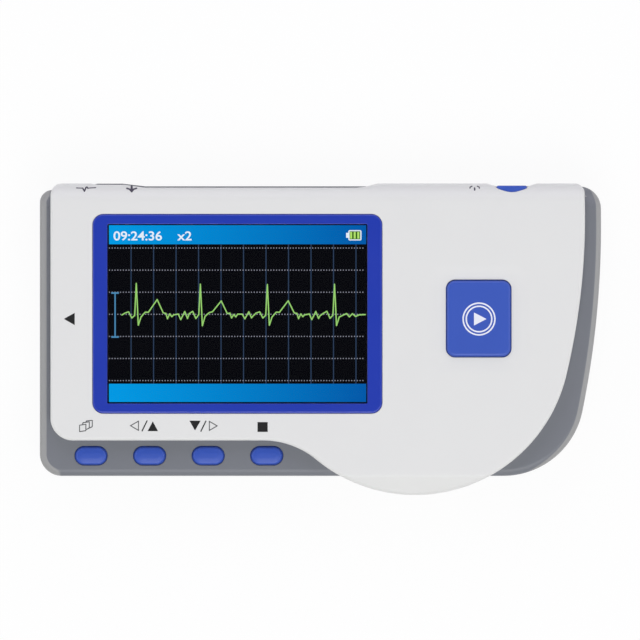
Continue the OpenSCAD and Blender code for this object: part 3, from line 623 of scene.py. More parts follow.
def paint_end_highlight(material, color):
    """Paints a highlight into a plastic's colour on the rounded edges that face the monitor's two ends, the
    left one the most, standing in for the sheen of the side lamps.
    """
    tree = material.node_tree
    base = tree.nodes["Principled BSDF"].inputs["Base Color"]
    lean = parts_of(tree, node(tree, "NewGeometry").outputs["Normal"])
    # Masks of end-facing, upward-tilted normals: where the painted highlight goes.
    left = calc(tree, "MULTIPLY", lean["X"], -1.0)
    right = calc(tree, "SUBTRACT", lean["X"], 0.25)
    ends = share(tree, calc(tree, "MAXIMUM", left, right), 0.01, 0.12, interpolation_type="SMOOTHSTEP")
    upward = share(tree, lean["Z"], -0.05, 0.2, interpolation_type="SMOOTHSTEP")
    highlight_share = calc(tree, "MULTIPLY", ends, upward)
    # Mixes the painted highlight colour into the base colour.
    feed(tree, blend(tree, highlight_share, base.links[0].from_socket, srgb(*color)), base)
    return material


def metal(name, color, drift, stretch, roughness=0.3):
    """Metal with brushed or drawn lines."""
    material, tree, sockets = new_material(name, Metallic=1.0)
    surface(tree, sockets, BRUSHED, Stretch=stretch, Depth=0.000004, Roughness=roughness, Spread=0.15)
    tint(tree, sockets, color, drift, 200.0, 0.5)
    return material


WHITE = plastic("white cover plastic", (225, 225, 223), (218, 218, 218), size=2600.0, depth=0.000005,
                roughness=0.46, amount=0.4)
# (152, 152, 152) is a painted highlight on the grey's rounded end edges, standing in for the side lamps'
# sheen.
GREY = paint_end_highlight(plastic("blue grey case plastic", (115, 118, 125), (107, 110, 117), size=2400.0,
                         depth=0.00002, roughness=0.46, amount=0.5), (152, 152, 152))
BEZEL = plastic("blue screen frame plastic", (13, 50, 172), (11, 44, 160), size=3000.0, depth=0.000003,
                roughness=0.3, amount=0.5, coat=0.2)
KEY = plastic("blue key plastic", (44, 81, 182), (38, 73, 170), size=3000.0, depth=0.000008, roughness=0.42,
              amount=0.5)
CHIP = plastic("moulded chip plastic", (34, 34, 36), (48, 48, 50), size=5000.0, depth=0.00001, roughness=0.6)
IVORY = plastic("connector plastic", (236, 230, 212), (224, 214, 190), roughness=0.45)
FLEX = plastic("amber film", (206, 140, 44), (186, 118, 34), size=900.0, depth=0.000004, roughness=0.25)
GLASS = plastic("dark display glass", (16, 13, 19), (22, 20, 28), size=9000.0, depth=0.0000005,
                roughness=0.3, specular=0.1)
STEEL = metal("brushed electrode steel", (206, 208, 211), (190, 192, 196), (6000.0, 60.0, 6000.0))
CONTACT = metal("plated contact steel", (214, 213, 206), (196, 190, 172), (800.0, 800.0, 6000.0), 0.22)
SCREW = metal("plated screw steel", (178, 181, 187), (150, 150, 152), (2500.0, 2500.0, 2500.0))
SHEET = metal("stamped sheet", (196, 197, 200), (182, 182, 184), (400.0, 5000.0, 5000.0))
GOLD = metal("gilt contact", (214, 176, 98), (190, 150, 80), (3000.0, 3000.0, 3000.0), 0.25)


def ink(name, color, drift, roughness=0.6, specular=0.2):
    """Thin printed ink."""
    return plastic(name, color, drift, size=8000.0, depth=0.000002, roughness=roughness, specular=specular)


INK = ink("dark ink", (22, 22, 23), (30, 30, 31))
PALE_INK = ink("white ink", (232, 234, 244), (220, 222, 234), roughness=0.5, specular=0.5)
GREY_INK = ink("thin dark ink", (74, 75, 77), (92, 93, 95))
EDGE_INK = ink("purplish grey ink", (78, 74, 88), (92, 88, 102))


# ---- White cover

ROLL_Y = TOP - ROLL_R
LOBE_FALL = 2.4         # how far the lobe's face falls from its fold to its tip
FOLD_SOFTNESS = 0.22


def face_drop(y):
    """How far the cover's surface lies below its flat face: over the roll, and beyond the lobe's fold."""
    if y > ROLL_Y:
        reach = min(y - ROLL_Y, ROLL_R)
        return ROLL_R - math.sqrt(ROLL_R ** 2 - reach ** 2)
    past = GREY_BOTTOM - y
    soft = (past + math.sqrt(past ** 2 + FOLD_SOFTNESS ** 2)) / 2
    return LOBE_FALL / CHIN_R * soft if past > -3 else 0.0


def roll_slices():
    """Places along Y where the cover's surface bends."""
    roll = [ROLL_Y + ROLL_R * math.sin(math.radians(angle)) for angle in range(0, 84, 4)]
    fold = [GREY_BOTTOM + 0.12 * step for step in (-8, -4, -2, -1, 0, 1, 2, 4, 8)]
    return roll + fold


def settle(bm, above):
    """Lowers what lies above a height onto the cover's rolled and folded surface."""
    for v in bm.verts:
        if v.co.z > above:
            v.co.z -= face_drop(v.co.y)


START_X, START_Y = centre("start_button")
start_low, start_high = span("start_button")
START_W, START_H, START_R = 14.64, 17.36, 2.1
DISH_MARGIN = 4.35
DISH_DEPTH = 0.13
DISH_SLOPE = 2.6
SCREW_PLACES = [(-53.8, 27.2), (-53.8, -15.9), (52.0, 27.5), (40.0, -19.5)]


def start_dish():
    """What the shallow dish round the start button takes out of the face."""
    width, height = START_W + 2 * DISH_MARGIN, START_H + 1.6 * DISH_MARGIN
    bm = bmesh.new()
    face = draw(bm, rounded(width, height, 4.0, START_X, START_Y), FACE_Z + 1)
    inset(bm, face, 0.02)
    bmesh.ops.translate(bm, vec=(0, 0, -1), verts=face.verts)
    steps = 10
    sunk = 0.0
    for step in range(1, steps + 1):
        part = step / steps
        depth = DISH_DEPTH * part * part * (3 - 2 * part)
        inset(bm, face, DISH_SLOPE / steps)
        bmesh.ops.translate(bm, vec=(0, 0, sunk - depth), verts=face.verts)
        sunk = depth
    rim = [e for e in bm.edges if e.is_boundary]
    bmesh.ops.contextual_create(bm, geom=rim)
    bmesh.ops.recalc_face_normals(bm, faces=bm.faces)
    return bm


def pull(bm, z, height, where):
    """Extrudes the faces at one height whose place along Y is right, and leaves none behind inside."""
    faces = []
    for face in bm.faces:
        middle = face.calc_center_median()
        if abs(middle.z - z) < TINY and where(middle.y):
            faces.append(face)
    extrude(bm, faces, height)
    bmesh.ops.delete(bm, geom=[f for f in faces if f.is_valid], context="FACES")


COVER_LIP = 1.2         # how far the cover's edge reaches down into the deck
BOSS_R = 2.5            # round the case screws


def make_front_cover():
    """White shell with the rolled top edge, the lobe and its chin."""
    lip_z = DECK_Z - COVER_LIP
    chin_y = GREY_BOTTOM - 0.05
    wall_y = TOP - WALL - 1.3
    bm = solid(cover_outline(), lip_z, FACE_Z)
    round_edges(bm, level_edges(bm, FACE_Z), FACE_EDGE_R, 6)
    slice_at(bm, roll_slices() + [chin_y, wall_y])
    settle(bm, FACE_Z - FACE_EDGE_R - TINY)
    bm.normal_update()
    pull(bm, lip_z, SPLIT_Z - lip_z, lambda y: y > wall_y)
    pull(bm, lip_z, CHIN_Z - lip_z, lambda y: y < chin_y)
    rim = [e for e in level_edges(bm, CHIN_Z) if len(e.link_faces) == 2 and any(
        abs(f.normal.z) < 0.1 and abs(f.calc_center_median().y - chin_y) > TINY for f in e.link_faces)]
    round_edges(bm, rim, CHIN_R, 10)
    cover = place("white_front_cover", bm)
    cut(cover, trimmed(solid(cover_outline(WALL, dips=False), SPLIT_Z - OVER, CEILING_Z),
                       (LEFT, GREY_BOTTOM + 0.6, 0), (RIGHT, TOP - WALL - 0.2, FACE_Z)))
    add(cover, *rods(SCREW_PLACES, BOSS_R, SPLIT_Z, CEILING_Z + 0.5))
    pocket_w, pocket_h = bezel_high.x - bezel_low.x + 0.1, bezel_high.y - bezel_low.y + 0.1
    cut(cover,
        *rods(SCREW_PLACES, 1.15, SPLIT_Z - OVER, CEILING_Z - 0.5, 24),
        solid(rounded(pocket_w, pocket_h, 2.5, FRAME_X, FRAME_Y), bezel_low.z, FACE_Z + OVER),
        solid(rounded(PICTURE_W + 1, PICTURE_H + 1, 0.8, FRAME_X, FRAME_Y), CEILING_Z - OVER, FACE_Z),
        start_dish(),
        solid(rounded(START_W, START_H, START_R, START_X, START_Y), CEILING_Z - OVER, FACE_Z + OVER),
        power_bore())
    return finish(cover, "case", WHITE, soften=0.1, replaces=["front_cover"])


power_low, power_high = span("power_button")
POWER_Z = 15.0
POWER_W, POWER_H = 6.8, 6.9
POWER_CORNER_R = 0.85
POWER_ARCH_R = 7.85
POWER_TAPER = 0.4


def into_top_edge(bm, y):
    """Stands a shape drawn flat round zero up in the top edge, with its base at a place along Y."""
    return moved(turned(bm, -90, "X"), POWER_X, y, POWER_Z)


def power_bore():
    """What the power button's hole takes out of the top wall."""
    hole = arched(POWER_W + 0.3, POWER_H + 0.3, POWER_CORNER_R + 0.15, POWER_ARCH_R + 0.15)
    return into_top_edge(solid(hole, 0, 8), TOP - 5)


# ---- Grey shells


DECK_CREASE = 0.14      # how sharply the deck's end roll begins


def deck_height(y):
    """Share of the deck's height that is left where its top end rolls down."""
    reach = min(max((y - (GREY_TOP - GREY_CORNER_R)) / GREY_CORNER_R, 0), 0.999)
    return math.sqrt(1 - reach ** 2) * (1 - DECK_CREASE * reach * (1 - reach))


def make_middle_frame():
    """Grey deck that shows round the cover, with the keys' holes."""
    bm = solid(grey_outline(), SPLIT_Z, DECK_Z)
    round_edges(bm, level_edges(bm, DECK_Z), DECK_EDGE_R, 7)
    start = GREY_TOP - GREY_CORNER_R
    slice_at(bm, [start + GREY_CORNER_R * math.sin(math.radians(angle)) for angle in range(0, 88, 6)])
    for v in bm.verts:
        v.co.z = SPLIT_Z + (v.co.z - SPLIT_Z) * deck_height(v.co.y)
    deck = place("grey_middle_frame", bm)
    low_z, high_z = SPLIT_Z - OVER, DECK_Z + OVER
    cut(deck, solid(grey_outline(WALL), low_z, DECK_Z - DECK_T),
        trimmed(solid(cover_outline(WALL + 1.6, dips=False), low_z, high_z),
                (LEFT, GREY_BOTTOM + WALL, 0), (RIGHT, TOP, FACE_Z + OVER)),
        trimmed(solid(cover_outline(-0.05, dips=False), low_z, high_z),
                (LEFT - OVER, TOP - WALL - 1.61, 0), (RIGHT + OVER, TOP + OVER, FACE_Z + OVER)),
        *[solid(stadium(KEY_W, KEY_H, *centre(name)), SPLIT_Z, high_z) for name in SOFT_KEYS])
    return finish(deck, "case", GREY, soften=0.14, replaces=["middle_frame"])


SOFT_KEYS = ("menu_key", "left_up_key", "right_down_key", "stop_key")
KEY_W, KEY_H = 7.4, 4.4
BAY_Y = centre("battery_door")[1]
BAY_X0, BAY_X1 = LEFT + 3.0, LEFT + 52.0
BAY_W = 22.5
BAY_Z0 = FLOOR_T + 0.1
BAY_TOP = BAY_Z0 + 10.7
TONGUE = 1.0
BOARD_Z = span("main_board")[0].z
POST_PLACES = [(-28.0, 26.5), (-31.5, -16.65), (12.0, -18.15), (51.0, 8.0)]
HEAD_SEAT_Z = 6.0
WELL_R = 2.25           # of the case screws' wells
POST_R = 2.2
SOCKET_Z = 7.85
STUD_R = 1.0            # of the electrodes' contact studs
FINGER_NODES = ("index_finger_electrode", "middle_finger_electrode")
FINGER_W, FINGER_L = 12.0, 18.0
ELECTRODE_T = 0.6


def housing_body(hump=True):
    """Outer form of the grey rear housing."""
    bm = solid(grey_outline(hump=hump), 0, SPLIT_Z)
    round_edges(bm, level_edges(bm, 0), REAR_EDGE_R, 9)
    return bm


def make_rear_housing():
    """Grey back shell with the battery compartment, screw wells and electrode seats."""
    housing = place("grey_rear_housing", housing_body())
    side = BAY_W / 2 + TONGUE + 1.35
    bay_end = BAY_X1 + TONGUE + 1.4
    floor_z = FLOOR_T - 0.01
    cut(housing, solid(grey_outline(WALL), FLOOR_T, SPLIT_Z + OVER))
    add(housing,
        block((LEFT + WALL / 2, BAY_Y - side, floor_z), (bay_end, BAY_Y + side, SPLIT_Z)),
        block((LEFT + WALL + 0.15, BAY_Y - side, SPLIT_Z - 1), (bay_end, BAY_Y + side, BAY_TOP + 0.8)),
        *rods(SCREW_PLACES, WELL_R + 1.25, floor_z, SPLIT_Z),
        *rods(POST_PLACES, POST_R, floor_z, BOARD_Z, 32))
    half = BAY_W / 2
    tongue = half + TONGUE + 0.15
    socket = turned(solid(rounded(7.9, 4.2, 0.8), 0, OVER + 4), 90, "X")
    cut(housing,
        block((BAY_X0, BAY_Y - half, BAY_Z0 - 0.01), (BAY_X1, BAY_Y + half, BAY_TOP)),
        block((LEFT - OVER, BAY_Y - half - 0.05, -OVER), (BAY_X1 + 0.05, BAY_Y + half + 0.05, FLOOR_T / 2)),
        block((LEFT - OVER, BAY_Y - tongue, FLOOR_T / 2 - 0.05),
              (BAY_X1 + TONGUE + 0.15, BAY_Y + tongue, BAY_Z0)),
        *rods(SCREW_PLACES, WELL_R, -OVER, HEAD_SEAT_Z),
        *rods(SCREW_PLACES, 1.25, 0, SPLIT_Z + OVER, 24),
        *rods(POST_PLACES, 0.85, 4, SPLIT_Z, 24),
        moved(socket, SOCKET_X, TOP + OVER, SOCKET_Z), chest_seat(0.05),
        *[solid(rounded(FINGER_W + 0.1, FINGER_L + 0.1, 2.5, *centre(name)), -OVER, ELECTRODE_T + 0.05)
          for name in FINGER_NODES],
        *rods([centre(name) for name in FINGER_NODES], STUD_R + 0.05, 0, FLOOR_T + OVER, 24))
    return finish(housing, "case", GREY, soften=0.12, replaces=["rear_housing"])


CHEST_Z = (SPLIT_Z + REAR_EDGE_R) / 2
CHEST_L, CHEST_W = 36.0, 7.0
SOCKET_DEPTH = 9.0


def chest_seat(clearance):
    """Rounded plate in the left end: the electrode or, with a clearance, its seat."""
    outline = rounded(CHEST_L + 2 * clearance, CHEST_W + 2 * clearance, 3.0)
    bm = turned(turned(solid(outline, 0, ELECTRODE_T + clearance), 90, "X"), 90, "Z")
    moved(bm, LEFT, BAY_Y, CHEST_Z)
    if clearance:
        bmesh.ops.translate(bm, vec=(-OVER, 0, 0), verts=[v for v in bm.verts if v.co.x < LEFT + TINY])
    return bm


def make_battery_door():
    """Sliding door with a ribbed thumb patch and an arrow."""
    half = BAY_W / 2
    tongue = half + TONGUE
    door = place("grey_battery_door", housing_body(hump=False))
    plate = place("plate", block((LEFT - OVER, BAY_Y - half + 0.15, -OVER),
                                 (BAY_X1 - 0.15, BAY_Y + half - 0.15, FLOOR_T)))
    add(plate, block((LEFT - OVER, BAY_Y - tongue, FLOOR_T / 2 + 0.05),
                     (BAY_X1 + TONGUE, BAY_Y + tongue, FLOOR_T)))
    combine(door, [taken(plate)], "INTERSECT")
    grooves = [moved(turned(solid(stadium(12.0, 0.9), -OVER, 0.35), 90, "Z"), LEFT + 8.45 + 1.8 * k, BAY_Y, 0)
               for k in range(6)]
    arrow = solid([(LEFT + 26, BAY_Y), (LEFT + 30, BAY_Y + 2.6), (LEFT + 30, BAY_Y - 2.6)], -OVER, 0.3)
    cut(door, *grooves, arrow)
    return finish(door, "battery_door", GREY, soften=0.1, replaces=["battery_door"])


# ---- Screen


def make_screen_frame():
    """Blue bezel, seated in the cover's pocket."""
    width, height = bezel_high.x - bezel_low.x, bezel_high.y - bezel_low.y
    bm = solid(rounded(width, height, 2.45, FRAME_X, FRAME_Y), bezel_low.z, bezel_high.z)
    round_edges(bm, level_edges(bm, bezel_high.z), 0.45, 4)
    bezel = place("blue_screen_frame", bm)
    under = bezel_low.z - OVER
    cut(bezel,
        solid(rounded(PICTURE_W + 0.4, PICTURE_H + 0.4, 0.3, FRAME_X, FRAME_Y), under, FACE_Z + OVER),
        solid(rounded(PICTURE_W + 2.6, PICTURE_H + 2.6, 0.8, FRAME_X, FRAME_Y), under, lens_high.z))
    return finish(bezel, "case", BEZEL, soften=0.16, replaces=["screen_frame"])


def make_lens():
    """Clear window under the bezel's lip."""
    outline = rounded(lens_high.x - lens_low.x, lens_high.y - lens_low.y, 0.75, FRAME_X, FRAME_Y)
    lens = place("clear_screen_window", solid(outline, lens_low.z, lens_high.z))
    material, tree, sockets = new_material("clear window", Base_Color=(0.97, 0.98, 1.0, 1),
                                           Transmission_Weight=1.0, IOR=1.2)
    smudge = node(tree, "Group", node_tree=GRAIN, Size=300.0, Depth=0.0000002, Roughness=0.0, Spread=0.01)
    feed(tree, smudge.outputs["Roughness"], sockets["Roughness"])
    return finish(lens, "case", material, soften=0.05, replaces=["screen_lens"])


def glow(name, color, end_color=None, x0=0.0, x1=1.0):
    """Lit part of the picture: one colour, or a fade between two from x0 to x1, with a faint pixel grid."""
    material, tree, sockets = new_material("picture " + name, Base_Color=(0, 0, 0, 1), Emission_Strength=1.0,
                                           Roughness=0.6, Specular_IOR_Level=0.0)
    where = coords(tree)
    fade = share(tree, parts_of(tree, where)["X"], x0 * MM, x1 * MM)
    colors = blend(tree, fade, srgb(*color), srgb(*(end_color or color)))
    pixels = node(tree, "TexWave", Vector=where, Scale=5500.0, bands_direction="X")
    dimmed = blend(tree, 0.08, colors, pixels.outputs["Color"], blend_type="MULTIPLY")
    feed(tree, dimmed, sockets["Emission Color"])
    return material


PHOTO_SCALE = 0.22254   # millimetres to a pixel of the photograph
PHOTO_X, PHOTO_Y = 320.5, 339.2


def photo_x(px):
    """Place along X of a column of the photograph."""
    return (px - PHOTO_X) * PHOTO_SCALE


def photo_y(py):
    """Place along Y of a row of the photograph."""
    return (PHOTO_Y - py) * PHOTO_SCALE


def from_photo(px, py):
    """Place on the monitor of a pixel of the photograph."""
    return photo_x(px), photo_y(py)


PICTURE_LEFT, PICTURE_TOP = from_photo(108.9, 225.2)
PICTURE_RIGHT, PICTURE_BOTTOM = from_photo(366.2, 402.0)
LAYER = 0.02            # height of one layer of the picture
PANEL_Z = span("lcd_panel")[1].z


def bar(x0, y0, x1, y1, layer):
    """Thin slab in one layer of the picture."""
    return block((x0, y0, PANEL_Z + layer * LAYER), (x1, y1, PANEL_Z + (layer + 1) * LAYER))


def show(name, bm, material):
    """Finished piece of the picture."""
    return finish(place(name, bm), "case", material)


def stroke(points, width, z0, z1):
    """Flat line through points, drawn as round-ended dashes that overlap at the joints."""
    dashes = []
    for count, ((ax, ay), (bx, by)) in enumerate(zip(points, points[1:])):
        along = heading(bx - ax, by - ay)
        ends = [(bx, by, width / 2, along - 90, along + 90), (ax, ay, width / 2, along + 90, along + 270)]
        dashes.append(solid(ends, z0, z1 + TINY * (count % 2)))
    return merged(*dashes)


LETTER_H = 2.05         # height of the picture's digits
LETTER_STRETCH = 1.12
PITCH = 0.62            # from dot to dot of the dotted grid


def lettering(words, x, y, z):
    """Flat raised digits with their lower left corner at a point."""
    curve = bpy.data.curves.new("digits", "FONT")
    curve.body = words
    curve.size = LETTER_H * 1.38
    curve.extrude = LAYER / 2
    curve.offset = LETTER_H * 0.02
    drawn = bpy.data.objects.new("digits", curve)
    bpy.context.scene.collection.objects.link(drawn)
    mesh = bpy.data.meshes.new_from_object(drawn.evaluated_get(bpy.context.evaluated_depsgraph_get()))
    bpy.data.objects.remove(drawn)
    bpy.data.curves.remove(curve)
    bm = bmesh.new()
    bm.from_mesh(mesh)
    bpy.data.meshes.remove(mesh)
    bmesh.ops.scale(bm, vec=(LETTER_STRETCH, 1, 1), verts=bm.verts)
    return moved(bm, x, y, z)


BASELINE = photo_y(315.0)
# Peaks of the heart trace along X, and one heartbeat as steps right of the peak and heights over the baseline
PEAKS = [photo_x(px) for px in (136.2, 200.3, 267.3, 334.5)]
BEAT = [(-3.2, -0.1), (-2.5, 0.3), (-1.7, 0.85), (-1.0, -0.8), (-0.35, 0.05), (0.0, 7.1), (0.45, -2.4),
        (1.05, -0.35), (2.0, 0.5), (2.7, 0.75), (4.65, 3.35), (6.0, 0.45)]
REST = [(6.6, 0.3), (6.95, -0.7), (7.45, 0.25), (7.9, -0.5), (8.3, 0.1), (9.35, 0.1), (9.9, -0.9),
        (10.8, 0.65), (11.4, -0.65)]
LAST_REST = [(1.9, -0.1), (2.7, 0.35), (3.3, -0.5), (4.0, 0.4), (4.7, -0.45), (5.4, 0.15)]


def trace_points():
    """The heart trace: four beats, with an uneven baseline between them."""
    points = [(photo_x(121.8), BASELINE)]
    for count, peak in enumerate(PEAKS):
        last = count == len(PEAKS) - 1
        shape = [s for s in BEAT if s[0] < 1.5] if last else BEAT
        for step, rise in shape + (LAST_REST if last else REST):
            wobble = 0.14 * math.sin(4.3 * (peak + step)) - (0.12 * count if rise > 2 else 0)
            if peak + step > points[-1][0] + 0.2:
                points.append((peak + step, BASELINE + rise + wobble))
    points.append((PICTURE_RIGHT - 0.2, BASELINE + 0.1))
    return points


def make_picture():
    """The display's picture, in thin layers on its glass."""
    left, right, top, bottom = PICTURE_LEFT, PICTURE_RIGHT, PICTURE_TOP, PICTURE_BOTTOM
    header, footer = photo_y(244.2), photo_y(383.8)
    blues = glow("bar blue", (0, 158, 232), end_color=(0, 91, 172), x0=left, x1=right)
    pale = glow("white", (236, 246, 252))
    show("picture_field", bar(left, footer, right, header, 0), glow("black", (5, 6, 11)))
    show("picture_header_bar", bar(left, header, right, top, 0), blues)
    show("picture_footer_bar", bar(left, bottom, right, footer, 0), blues)
    columns = [photo_x(131 + 22.5 * k) for k in range(11)]
    show("picture_grid", merged(*[bar(x - 0.12, footer, x + 0.12, header, 1) for x in columns]),
         glow("grid blue", (44, 62, 88)))
    rows = [photo_y(248 + 22.1 * k) for k in range(7)]
    specks = [bar(left + PITCH * k, y - 0.11, left + PITCH * (k + 0.32), y + 0.11, 2)
              for y in rows for k in range(int((right - left) / PITCH))]
    show("picture_dotted_rows", merged(*specks), glow("dotted grid", (160, 162, 176)))
    x, y0 = from_photo(115, 337)
    y1 = photo_y(293)
    ends = [bar(x - 0.85, y - 0.18, x + 0.85, y + 0.18, 3) for y in (y0, y1)]
    show("picture_scale_mark", merged(bar(x - 0.15, y0, x + 0.15, y1, 4), *ends),
         glow("scale blue", (76, 140, 184)))
    show("picture_heart_trace", stroke(trace_points(), 0.27, PANEL_Z + 5 * LAYER, PANEL_Z + 6 * LAYER),
         glow("trace green", (156, 214, 114)))
    show("picture_clock_digits",
         merged(*[lettering(words, photo_x(px), photo_y(240.2), PANEL_Z + 1.6 * LAYER)
                  for words, px in (("09:24:36", 113.2), ("x2", 177.6))]), pale)
    bx0, by0 = from_photo(348.4, 240.4)
    bx1, by1 = from_photo(361.5, 230.1)
    middle = (by0 + by1) / 2
    shell = ring(rounded(bx1 - bx0, by1 - by0, 0.3, (bx0 + bx1) / 2, middle), 0.28,
                 PANEL_Z + LAYER, PANEL_Z + 2 * LAYER)
    nub = bar(bx0 - 0.5, middle - 0.55, bx0 + 0.05, middle + 0.55, 1)
    show("picture_battery_mark", merged(shell, nub), pale)
    show("picture_battery_shade", bar(bx0 + 0.25, by0 + 0.25, bx1 - 0.25, by1 - 0.25, 1),
         glow("charge shade", (46, 96, 24)))
    cells = [bar(bx0 + 0.38 + 0.8 * k, by0 + 0.4, bx0 + 0.83 + 0.8 * k, by1 - 0.4, 2) for k in range(3)]
    show("picture_battery_charge", merged(*cells), glow("charge green", (184, 232, 110)))


# ---- Keys and buttons


SHOULDER_GAP = 0.12     # play of a button's shoulder in its hole


def make_soft_key(name):
    """Blue key with round ends and a softly domed top, over its flange."""
    low, high = span(name)
    x, y = centre(name)
    top = high.z - 0.12
    flange_z = DECK_Z - DECK_T - 0.1
    bm = solid(stadium(KEY_W - 2 * BUTTON_GAP, KEY_H - 2 * BUTTON_GAP, x, y), flange_z - 0.01, top)
    round_edges(bm, level_edges(bm, top), 0.6, 6)
    crown = next(f for f in bm.faces if f.normal.z > 0.99 and abs(f.calc_center_median().z - top) < TINY)
    for width, rise in ((0.35, 0.06), (0.35, 0.04), (0.3, 0.015)):
        inset(bm, crown, width)
        bmesh.ops.translate(bm, vec=(0, 0, rise), verts=crown.verts)
    key = place("blue_" + name, bm)
    add(key, solid(stadium(KEY_W + 1, KEY_H + 1, x, y), low.z, flange_z),
        solid(stadium(KEY_W - SHOULDER_GAP, KEY_H - SHOULDER_GAP, x, y), flange_z - 0.01, DECK_Z - 0.3))
    return finish(key, name, KEY, soften=0.06, replaces=[name])


PRINT = 0.02            # thickness of printed ink


def start_outline(margin, radius=START_R):
    """Start button's outline with a margin all round."""
    return rounded(START_W + 2 * margin, START_H + 2 * margin, radius, START_X, START_Y)


def make_start_button():
    """Blue rounded square button with its printed play mark."""
    top = start_high.z - 0.04
    flange_z = CEILING_Z - 0.1
    bm = solid(start_outline(-BUTTON_GAP, START_R - BUTTON_GAP), flange_z - 0.01, top)
    round_edges(bm, level_edges(bm, top), 0.65, 6)
    button = place("blue_start_button", bm)
    add(button, solid(start_outline(1.2), flange_z - 1.2, flange_z),
        solid(start_outline(-SHOULDER_GAP / 2), flange_z - 0.01, FACE_Z - DISH_DEPTH - 0.35),
        solid(rounded(4, 4, 0.5, START_X, START_Y), start_low.z, flange_z - 1.19))
    finish(button, "start_button", KEY, soften=0.08, replaces=["start_button"])
    x, y = from_photo(479, 319)
    wide, tall = 2.8, 2.9
    arrow = [(x - 0.4 * wide, y + tall / 2), (x - 0.4 * wide, y - tall / 2), (x + 0.6 * wide, y)]
    rings = [ring(disc(x, y, radius + 0.165), 0.33, top, top + PRINT) for radius in (3.53, 2.84)]
    mark = place("white_play_mark", merged(solid(arrow, top, top + PRINT), *rings))
    return finish(mark, "start_button", PALE_INK)


def make_power_button():
    """Blue button in the top edge, over its plate."""
    base = TOP - WALL - 0.5
    bm = solid(arched(POWER_W, POWER_H, POWER_CORNER_R, POWER_ARCH_R), 0, power_high.y - base)
    round_edges(bm, level_edges(bm, power_high.y - base), POWER_TAPER, 5)
    button = place("blue_power_button", into_top_edge(bm, base))
    add(button, block((power_low.x, power_low.y, power_low.z), (power_high.x, base + 0.01, CEILING_Z - 0.3)))
    return finish(button, "power_button", KEY, soften=0.06, replaces=["power_button"])


# ---- Printed marks


def spots(pixels):
    """Places on the monitor of several pixels of the photograph."""
    return [from_photo(*pixel) for pixel in pixels]


def patch(*pixels):
    """Filled printed shape."""
    return solid(spots(pixels), FACE_Z, FACE_Z + PRINT)


def outlined(*pixels):
    """Hollow printed shape."""
    return ring(spots(pixels), 0.2, FACE_Z, FACE_Z + PRINT)


def line_mark(width, *pixels):
    """Printed line through places on the roll or the face."""
    return stroke(spots(pixels), width, FACE_Z, FACE_Z + PRINT)


def make_marks():
    """Symbols printed beside the keys, and on the roll above the screen."""
    filled = merged(
        patch((63.9, 318.9), (74.7, 325.1), (74.7, 312.8)),
        patch((147.6, 431.1), (158.0, 431.1), (152.8, 421.4)),
        patch((189.4, 420.7), (195.0, 430.5), (200.6, 420.7)),
        patch((257.5, 422.1), (257.5, 431.9), (267.7, 431.9), (267.7, 422.1)),
        line_mark(0.26, (142.1, 430.9), (147.0, 420.9)),
        line_mark(0.26, (200.9, 431.2), (205.9, 421.1)))
    finish(place("printed_key_marks", filled), "case", INK)
    hollow = merged(
        outlined((129.6, 425.7), (138.9, 431.1), (138.9, 420.4)),
        outlined((208.9, 420.6), (208.9, 431.2), (218.1, 425.9)),
        line_mark(0.2, (79.6, 425.2), (79.6, 431.6), (85.8, 430.7), (85.9, 424.3), (79.6, 425.2)),
        line_mark(0.2, (82.6, 424.2), (83.0, 422.7), (89.3, 421.8), (89.3, 428.0), (86.6, 429.4)),
        line_mark(0.2, (86.0, 421.7), (86.5, 420.9), (92.3, 420.4), (92.3, 426.6), (89.9, 427.9)))
    finish(place("printed_outline_marks", hollow), "case", GREY_INK)
    roll = merged(
        line_mark(0.22, (76.4, 187.9), (82.6, 188.1)),
        line_mark(0.32, (82.6, 188.1), (84.4, 191.2), (85.8, 187.6), (86.8, 187.0), (87.6, 188.1)),
        line_mark(0.22, (87.6, 188.1), (95.7, 187.6)),
        line_mark(0.36, (126.8, 188.3), (130.4, 189.4), (132.8, 189.4), (136.4, 188.3)),
        line_mark(0.46, (131.6, 186.4), (131.6, 191.4)),
        line_mark(0.5, (130.4, 189.8), (131.6, 191.0), (132.8, 189.8)),
        line_mark(0.24, (472.0, 186.2), (470.2, 187.0), (470.0, 188.2)),
        line_mark(0.24, (477.4, 186.2), (479.2, 187.0), (479.4, 188.2)),
        line_mark(0.34, (474.7, 188.0), (474.7, 189.9)))
    slice_at(roll, roll_slices())
    settle(roll, 0)
    return finish(place("printed_edge_marks", roll), "case", EDGE_INK)


# ---- Metal pieces on the outside


def make_electrodes():
    """Brushed steel plates: one in the left end, two under the fingers."""
    plate = place("steel_chest_electrode", chest_seat(0.0))
    inner = LEFT + ELECTRODE_T - 0.01
    stud = turned(rod(0, 0, STUD_R, 0, span("chest_electrode")[1].x - inner, 32), 90, "Y")
    add(plate, moved(stud, inner, BAY_Y - CHEST_L / 2 + 2.2, CHEST_Z))
    finish(plate, "case", STEEL, soften=0.12, replaces=["chest_electrode"])
    for name in FINGER_NODES:
        x, y = centre(name)
        plate = place("steel_" + name, solid(rounded(FINGER_W, FINGER_L, 2.5, x, y), 0, ELECTRODE_T))
        add(plate, rod(x, y, STUD_R, ELECTRODE_T - 0.01, span(name)[1].z, 32))
        finish(plate, "case", STEEL, soften=0.12, replaces=[name])


def make_screws():
    """Four case screws at the bottom of their wells, with cross recesses."""
    low, high = span("housing_screws")
    parts = []
    for x, y in SCREW_PLACES:
        head = rod(x, y, 2.1, low.z, HEAD_SEAT_Z)
        round_edges(head, level_edges(head, low.z), 0.45, 4)
        parts += [head, rod(x, y, 1.1, HEAD_SEAT_Z - 0.01, high.z, 32)]
    screws = place("steel_case_screws", merged(*parts))
    crosses = []
    for x, y in SCREW_PLACES:
        crosses.append(block((x - 1.15, y - 0.28, low.z - 1), (x + 1.15, y + 0.28, low.z + 0.8)))
        crosses.append(block((x - 0.28, y - 1.15, low.z - 1), (x + 0.28, y + 1.15, low.z + 0.8)))
    cut(screws, *crosses)
    return finish(screws, "case", SCREW, soften=0.05, replaces=["housing_screws"])


